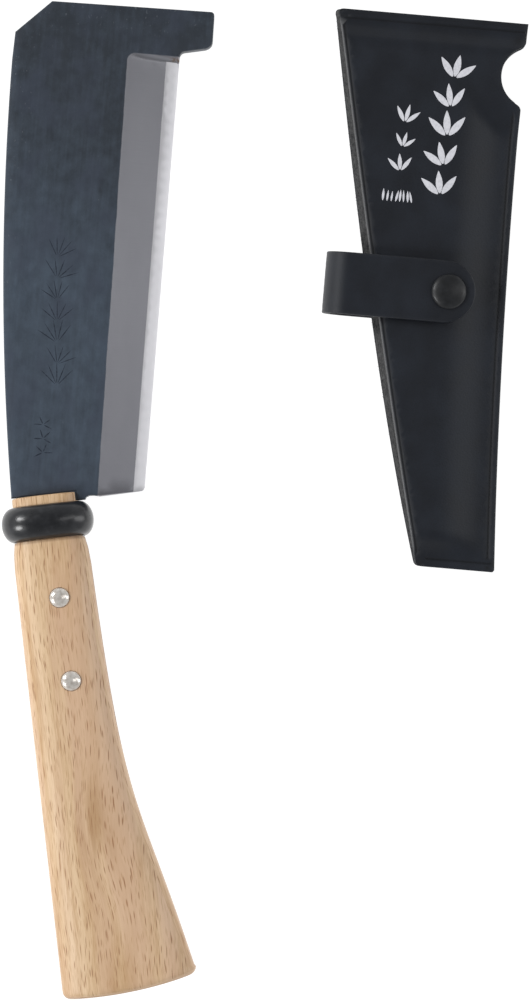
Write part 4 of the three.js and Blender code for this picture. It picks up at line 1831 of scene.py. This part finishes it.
@dataclass
class Sheath:
    """The flat pouch: two vinyl panels, their strap and the press stud."""

    frames: Frames
    seam_edge: list[Point] = field(init=False)
    mouth_edge: list[Point] = field(init=False)
    top_y: float = 103.0
    bottom_y: float = -103.0
    seam_top: float = 70.0
    panel: float = 1.5
    panel_bottom: float = 3.1
    mouth_gap: float = 7.6
    seam_gap: float = 2.6
    seam_width: float = 4.0
    slope: float = 18.0
    inset: float = 2.3
    notch: Spot = (24.5, 82.9, 11.6)
    strap_half: float = 11.6
    strap_thick: float = 1.8
    bend_x: float = -37.45
    bend_z: float = 10.05
    flap_z: float = 18.2
    bend_radius: float = 8.15
    strap_start: float = 4.0
    strap_end: float = 10.0
    cap_z: float = 19.3
    fold: Point = (-4.1, 2.0)
    fold_lean: float = math.radians(15)

    def __post_init__(self) -> None:
        """Draw the front panel's two long edges."""
        self.seam_edge, self.mouth_edge = self._seam(0), self._mouth(self.inset)

    def _mouth(self, inset: float) -> list[Point]:
        """The open side's edge, from the top down."""
        path = Outline((-51 + 0.5 * inset, self.top_y), 2.5)
        return path.bend((-26.6 + 1.8 * inset, -28.8), (-3.7 + 0.2 * inset, self.bottom_y)).points

    def _seam(self, inset: float) -> list[Point]:
        """The long seam's edge, from the window down."""
        path = Outline((21.2 - inset, self.seam_top), 2.5)
        return path.bend((20.9 - inset, -20), (26.3 - inset, self.bottom_y + 0.8)).points

    def _outline(self, inset: float) -> list[Point]:
        """A panel's outline with the round window for the beak.

        Args:
            inset: How far its open side is drawn in.

        Returns:
            Its points, anticlockwise.
        """
        mouth, seam = self._mouth(inset), self._seam(0)
        nx, ny, radius = self.notch
        path = Outline((mouth[-1][0] + 2, self.bottom_y), 2.5)
        path.line(25.6, self.bottom_y).line(*seam[-1])
        path.points += seam[::-1][1:]
        path.step = 0.8
        path.bend((21.1, 71.5), (19.1, 72.4)).arc((nx, ny), radius, 242, 118)
        path.bend((21.3, 94.2), (21.3, 96))
        path.step = 2.5
        path.line(21.6, self.top_y).line(mouth[0][0] + 2, self.top_y)
        path.step = 0.8
        path.bend(mouth[0], (mouth[0][0] + 0.2, self.top_y - 2))
        path.points += mouth[1:-1]
        path.bend(mouth[-1], (mouth[-1][0] + 2, self.bottom_y))
        return path.closed()

    def _seam_x(self, y: float) -> float:
        """Where the long seam's edge lies."""
        return 21.4 if y > self.seam_top else curve_x(self.seam_edge, y)

    def _cavity(self, x: float, y: float) -> float:
        """The free height between the panels.

        Args:
            x: The place across.
            y: The place along.

        Returns:
            The height.
        """
        seam = 21.2 if y > self.seam_top else curve_x(self.seam_edge, y)
        beside = max(smooth((seam - x - self.seam_width) / self.slope), smooth((y - 58) / 16))
        below = smooth((self.top_y - self.seam_width - y) / 8)
        above = smooth((y - self.bottom_y - self.seam_width) / 8)
        return self.seam_gap + (self.mouth_gap - self.seam_gap) * beside * below * above

    def _seam_depth(self, x: float, y: float) -> float:
        """How strongly a point lies in a pressed seam line.

        Args:
            x: The place across.
            y: The place along.

        Returns:
            1 in the line's middle and 0 away from it.
        """
        near_window = self.seam_top - 1 < y < 95
        right = 0.0 if near_window else ridge(self._seam_x(y) - x - 2.6, 0.55)
        top = 0.8 * ridge(self.top_y - y - 3.3, 0.4) + 0.4 * ridge(self.top_y - y - 1.1, 0.4)
        bottom = 0.8 * ridge(y - self.bottom_y - 3.1, 0.4)
        mouth = 0.9 * ridge(x - curve_x(self.mouth_edge, y) - 1.35, 0.45)
        return min(1.0, right + top + bottom + mouth)

    def _front_top(self, x: float, y: float) -> float:
        """The front panel's outer face."""
        level = self.panel_bottom + self.panel + self._cavity(x, y) + self.panel
        return level - 0.45 * self._seam_depth(x, y)

    def make(self) -> None:
        """Build and dress the panels, the strap, the fasteners and the print."""
        frame = self.frames.sheath
        vinyl = VinylFinish().paint(frame)
        backing = BackingFinish().paint(frame)
        self._make_panels(vinyl, backing)
        self._make_strap(vinyl)
        self._make_fasteners()
        self._make_print()
        self._make_fibres()

    def _mark(self, made: bpy.types.Object, seam: Height, rub: Height) -> None:
        """Store where a piece is pressed into a seam, which is painted in shade, and where it is drawn paler
        by wear and by painted sheen.

        Args:
            made: The piece.
            seam: The seam's strength at a point.
            rub: The strength at a point of wear and of painted sheen.
        """
        back = self.frames.sheath.inverted()
        for name, rule in (("seam", seam), ("rub", rub)):
            layer = made.data.attributes.new(name, "FLOAT", "POINT")
            for vertex, item in zip(made.data.vertices, layer.data):
                local = (back @ vertex.co) / MM
                item.value = rule(local.x, local.y)

    def _make_panels(self, vinyl: bpy.types.Material, backing: bpy.types.Material) -> None:
        """Build the two panels.

        Args:
            vinyl: The outer finish.
            backing: The inner face's finish.
        """
        frame = self.frames.sheath
        low, high = self.panel_bottom, self.panel_bottom + self.panel
        back = Shell().slab(self._outline(0), lambda x, y: high, lambda x, y: low, rounding=0.3, spacing=7)
        made = build("back_panel", back, frame, [vinyl, backing])
        self._mark(made, nowhere, nowhere)
        enlist(made, Body.SHEATH, ["sheath_back_panel"])

        front = Shell().slab(
            self._outline(self.inset),
            self._front_top,
            lambda x, y: high + self._cavity(x, y),
            rounding=0.45,
            spacing=2.6,
            guides=self._seam_guides(),
        )
        made = build("front_panel", front, frame, [vinyl], sharp=50)
        # The seam values carry painted shade in the pressed lines; the panel's other values carry wear on its
        # hem.
        self._mark(made, self._seam_depth, self._panel_rub)
        enlist(made, Body.SHEATH, ["sheath_front_panel"])

    def _seam_guides(self) -> list[list[Point]]:
        """Paths along the pressed lines, where the front panel needs its samples close together.

        Returns:
            The paths.
        """
        guides = []
        sides = (
            (self.seam_edge, (-3.3, -2.9, -2.6, -2.3, -1.9), self.bottom_y + 4, self.seam_top - 1),
            (self.mouth_edge, (0.8, 1.1, 1.35, 1.6, 2.0), self.bottom_y + 4.5, self.top_y - 5),
        )
        for edge, shifts, low, high in sides:
            guides += [[(x + shift, y) for x, y in edge if low < y < high] for shift in shifts]
        ends = (
            ((-2.7, -3.0, -3.3, -3.6, -3.9, -0.8, -1.1, -1.4), self.top_y, (-46, 20.5), 24),
            ((2.5, 2.8, 3.1, 3.4, 3.7), self.bottom_y, (0.5, 24.5), 10),
        )
        for shifts, end, span, steps in ends:
            guides += [[(lerp(*span, i / steps), end + y) for i in range(steps + 1)] for y in shifts]
        return guides

    def _panel_rub(self, x: float, y: float) -> float:
        """How strongly the front panel is rubbed pale.

        Args:
            x: The place across.
            y: The place along.

        Returns:
            The wear, strongest on the hem at the mouth.
        """
        free = smooth((y - self.bottom_y - 3) / 6) * smooth((self.top_y - y - 3) / 3)
        hem = ridge(x - curve_x(self.mouth_edge, y) - 0.3, 0.3) * 0.85 * free
        return hem + ridge(self._seam_x(y) - x - 0.5, 0.5) * 0.05

    def _strap_rub(self, x: float, y: float) -> float:
        """How strongly the strap is drawn paler: painted sheen over its bend, which curves towards the lamps
        on the left, and wear along its sides.
        """
        bend = smooth((self.bend_x - 3 - x) / 6) * 0.12
        return bend + ridge(self.strap_half - abs(y), 0.5) * 0.06

    def _around(self, s: float, w: float, n: float) -> Spot:
        """Carry a point of the flat strap round the mouth.

        Args:
            s: Its place along the strap.
            w: Its place across the strap.
            n: Its height above the strap's middle.

        Returns:
            Its place on the sheath.
        """
        low_run, half_turn = self.strap_start - self.bend_x, math.pi * self.bend_radius
        if s <= low_run:
            return (self.strap_start - s, w, self.bend_z - self.bend_radius - n)
        if s <= low_run + half_turn:
            angle, reach = math.pi / 2 + (s - low_run) / self.bend_radius, self.bend_radius + n
            return (self.bend_x + reach * math.cos(angle), w, self.bend_z - reach * math.sin(angle))
        return (self.bend_x + s - low_run - half_turn, w, self.flap_z + n)

    def _make_strap(self, vinyl: bpy.types.Material) -> None:
        """Build the strap flat and bend it round the mouth.

        Args:
            vinyl: Its finish.
        """
        low_run, half_turn = self.strap_start - self.bend_x, math.pi * self.bend_radius
        total = low_run + half_turn + self.strap_end - self.bend_x
        path = Outline((0, -self.strap_half), 1.2)
        path.line(total - self.strap_half, -self.strap_half)
        path.arc((total - self.strap_half, 0), self.strap_half, -90, 90)
        path.line(0, self.strap_half).line(0, -self.strap_half)

        def swell(s: float, w: float) -> float:
            """Half the strap's thickness, less in the line pressed beside its edge."""
            edge = min(self.strap_half - abs(w), total - s)
            return self.strap_thick / 2 - 0.12 * ridge(edge - 1.5, 0.4)

        flat = Shell().slab(path.closed(), swell, lambda s, w: -swell(s, w), rounding=0.55, spacing=1.6)

        frame = self.frames.sheath
        made = build("strap", flat.bent(self._around), frame, [vinyl], sharp=50)
        # Painted sheen over the strap's bend, and wear along its sides.
        self._mark(made, nowhere, self._strap_rub)
        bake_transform(made)
        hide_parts("strap_back", "strap_flap")
        log.info("%s: %d faces between sheath and flap", made.name, len(made.data.polygons))

    def _make_fasteners(self) -> None:
        """Build the press stud's cap and dress the small parts that stay as they are."""
        frame = self.frames.sheath
        enamel = GlossFinish("black enamel", tone(8, 10, 14), 0.42, 0.03, 0.03).paint(frame)
        nickel = NickelFinish().paint(frame)
        filler = PlainFinish("seam filler", tone(26, 28, 31), tone(36, 38, 42)).paint(frame)
        base = self.cap_z
        curl = [(6.0 + 0.5 * math.cos(a), base + 0.55 + 0.5 * math.sin(a)) for a in (-1.2, -0.6, 0, 0.5)]
        rise = [math.pi / 2 * i / 14 for i in range(1, 14)]
        dome = [(6.3 * math.cos(a), base + 0.75 + 1.55 * math.sin(a)) for a in rise]
        profile = [(0, base), (5.9, base), *curl, *dome, (0, base + 2.3)]
        cap = build("snap_cap_dome", Shell().turned(profile), frame, [enamel], sharp=50)
        enlist(cap, Body.FLAP, ["snap_cap"])
        dressing = {
            enamel: ("strap_rivet_1", "strap_rivet_2"),
            nickel: ("snap_socket", "snap_stud", "snap_post", "strap_washer_1", "strap_washer_2"),
            filler: ("seam_strip_edge", "seam_strip_top", "seam_strip_bottom"),
        }
        for finish, names in dressing.items():
            for name in names:
                node = bpy.data.objects[name]
                if not node.material_slots:
                    node.data.materials.append(finish)
                for slot in node.material_slots:
                    slot.material = finish
                log.info("%s: dressed with %s", name, finish.name)

    def _make_print(self) -> None:
        """Print columns of leaf sprigs and a row of ticks on the front panel."""
        frame = self.frames.sheath
        ink = PlainFinish("pale ink", tone(222, 222, 228), tone(205, 205, 212), 0.6).paint(frame)
        tree = sprig_tree()
        level = self.panel_bottom + 2 * self.panel + self.mouth_gap + 0.03
        groups = {
            "print_main": Sprigs((-4.6, 79.6), (-6.2, 35.6), 5, 3, 1.3, 8.9, 0.72, 3),
            "print_side": Sprigs((-21.6, 61.6), (-21.8, 43.4), 3, 3, 0.75, 6.0, 0.7, 4),
            "print_ticks": Sprigs((-27.4, 31.6), (-16.4, 31.6), 8, 1, 0.42, 4.4, 0.0, 6),
        }
        for name, sprigs in groups.items():
            enlist(sprigs.plant(name, tree, frame, level, 0.06, ink), Body.SHEATH)

    def _make_fibres(self) -> None:
        """Scatter loose fibres along the back panel's cut lip."""
        frame = self.frames.sheath
        lint = PlainFinish("loose fibres", tone(120, 120, 120), tone(84, 84, 86), 0.9).paint(frame)
        level = self.panel_bottom + self.panel + 0.05
        path = [(x + 1.1, y, level) for x, y in self._mouth(0) if self.bottom_y + 3 < y < self.top_y - 3]
        links = [(i, i + 1) for i in range(len(path) - 1)]
        base = bpy.data.meshes.new("mouth line")
        base.from_pydata([frame @ (Vector(point) * MM) for point in path], links, [])
        values = {
            "Count": 900,
            "Length": 1.1 * MM,
            "Radius": 0.05 * MM,
            "Scatter": (1.0 * MM, 0.3 * MM, 0.04 * MM),
            "Seed": 21,
            "Material": lint,
        }
        enlist(fibre_tree().grow("mouth_fibres", values, base), Body.SHEATH)


# ---- Studio ----------------------------------------------------------------------------------------------


@dataclass
class Studio:
    """The table, the light and the camera above."""

    height: float = 1.8
    aim: Point = (-0.00035, -0.00095)
    field_height: float = 0.375
    field_level: float = 0.008

    def make(self) -> None:
        """Set the table, the lamps, the surroundings and the camera."""
        scene = bpy.context.scene
        scene.view_settings.view_transform = "Standard"
        self._table()
        self._surroundings(0.1, 0.62)
        lamps = (
            ("upper left softbox", (-1.0, 0.5, 0.85), (0.3, 0.4), 7),
            ("lower left softbox", (-1.0, -0.45, 0.85), (0.3, 0.4), 7),
            ("right reflector", (0.7, 0.27, 1.5), (0.36, 1.1), 2.1),
            ("far right softbox", (1.5, 0.1, 0.8), (0.5, 1.2), 5.5),
        )
        for name, place, size, power in lamps:
            self._lamp(name, place, size, power)
        lens = bpy.data.cameras.new("camera")
        lens.sensor_fit, lens.sensor_height = "VERTICAL", 24
        lens.lens = 12 / (self.field_height / 2 / (self.height - self.field_level))
        lens.clip_end = 20
        camera = bpy.data.objects.new("camera", lens)
        camera.location = (*self.aim, self.height)
        scene.collection.objects.link(camera)
        scene.camera = camera

    def _table(self) -> None:
        """Lay a plain pale table top that glows a little, as a light table does."""
        mesh = bpy.data.meshes.new("table")
        mesh.from_pydata([(-3, -3, 0), (3, -3, 0), (3, 3, 0), (-3, 3, 0)], [], [(0, 1, 2, 3)])
        paint = Paint("table top")
        mesh.materials.append(
            paint.dress(
                Base_Color=(0.2, 0.2, 0.2, 1),
                Roughness=0.9,
                Specular_IOR_Level=0.1,
                Emission_Color=(1, 1, 1, 1),
                Emission_Strength=0.95,
            )
        )
        table = bpy.data.objects.new("table", mesh)
        bpy.context.scene.collection.objects.link(table)

    def _surroundings(self, above: float, around: float) -> None:
        """Light everything from a room with pale walls and a darker ceiling.

        Args:
            above: The ceiling's brightness.
            around: The brightness at the horizon.
        """
        world = bpy.data.worlds.new("room")
        world.use_nodes = True
        room = Wires(world.node_tree)
        direction = room.node("ShaderNodeTexCoord").outputs["Generated"]
        rise = Signal(room, room.node("ShaderNodeSeparateXYZ", None, {0: direction}).outputs[2])
        glow = (1.0 - rise * rise) * (around - above) + above
        light = room.node("ShaderNodeBackground", None, {"Color": (0.96, 0.98, 1.0, 1), "Strength": glow})
        room.node("ShaderNodeOutputWorld", None, {"Surface": light.outputs[0]})
        bpy.context.scene.world = world

    def _lamp(self, name: str, place: Spot, size: Point, power: float) -> None:
        """Hang a softbox that faces the set.

        Args:
            name: Its name.
            place: Where it hangs.
            size: Its width and height.
            power: Its power in watts.
        """
        light = bpy.data.lights.new(name, "AREA")
        light.shape, light.size, light.size_y, light.energy = "RECTANGLE", size[0], size[1], power
        lamp = bpy.data.objects.new(name, light)
        lamp.location = place
        lamp.rotation_euler = Vector((-place[0], -place[1], -place[2])).to_track_quat("-Z", "Y").to_euler()
        bpy.context.scene.collection.objects.link(lamp)


def main() -> None:
    """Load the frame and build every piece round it."""
    logging.basicConfig(level=logging.INFO, format="%(message)s")
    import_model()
    frames = Frames()
    Studio().make()
    Blade(frames).make()
    Grip(frames).make()
    Sheath(frames).make()


if __name__ == "__main__":
    main()
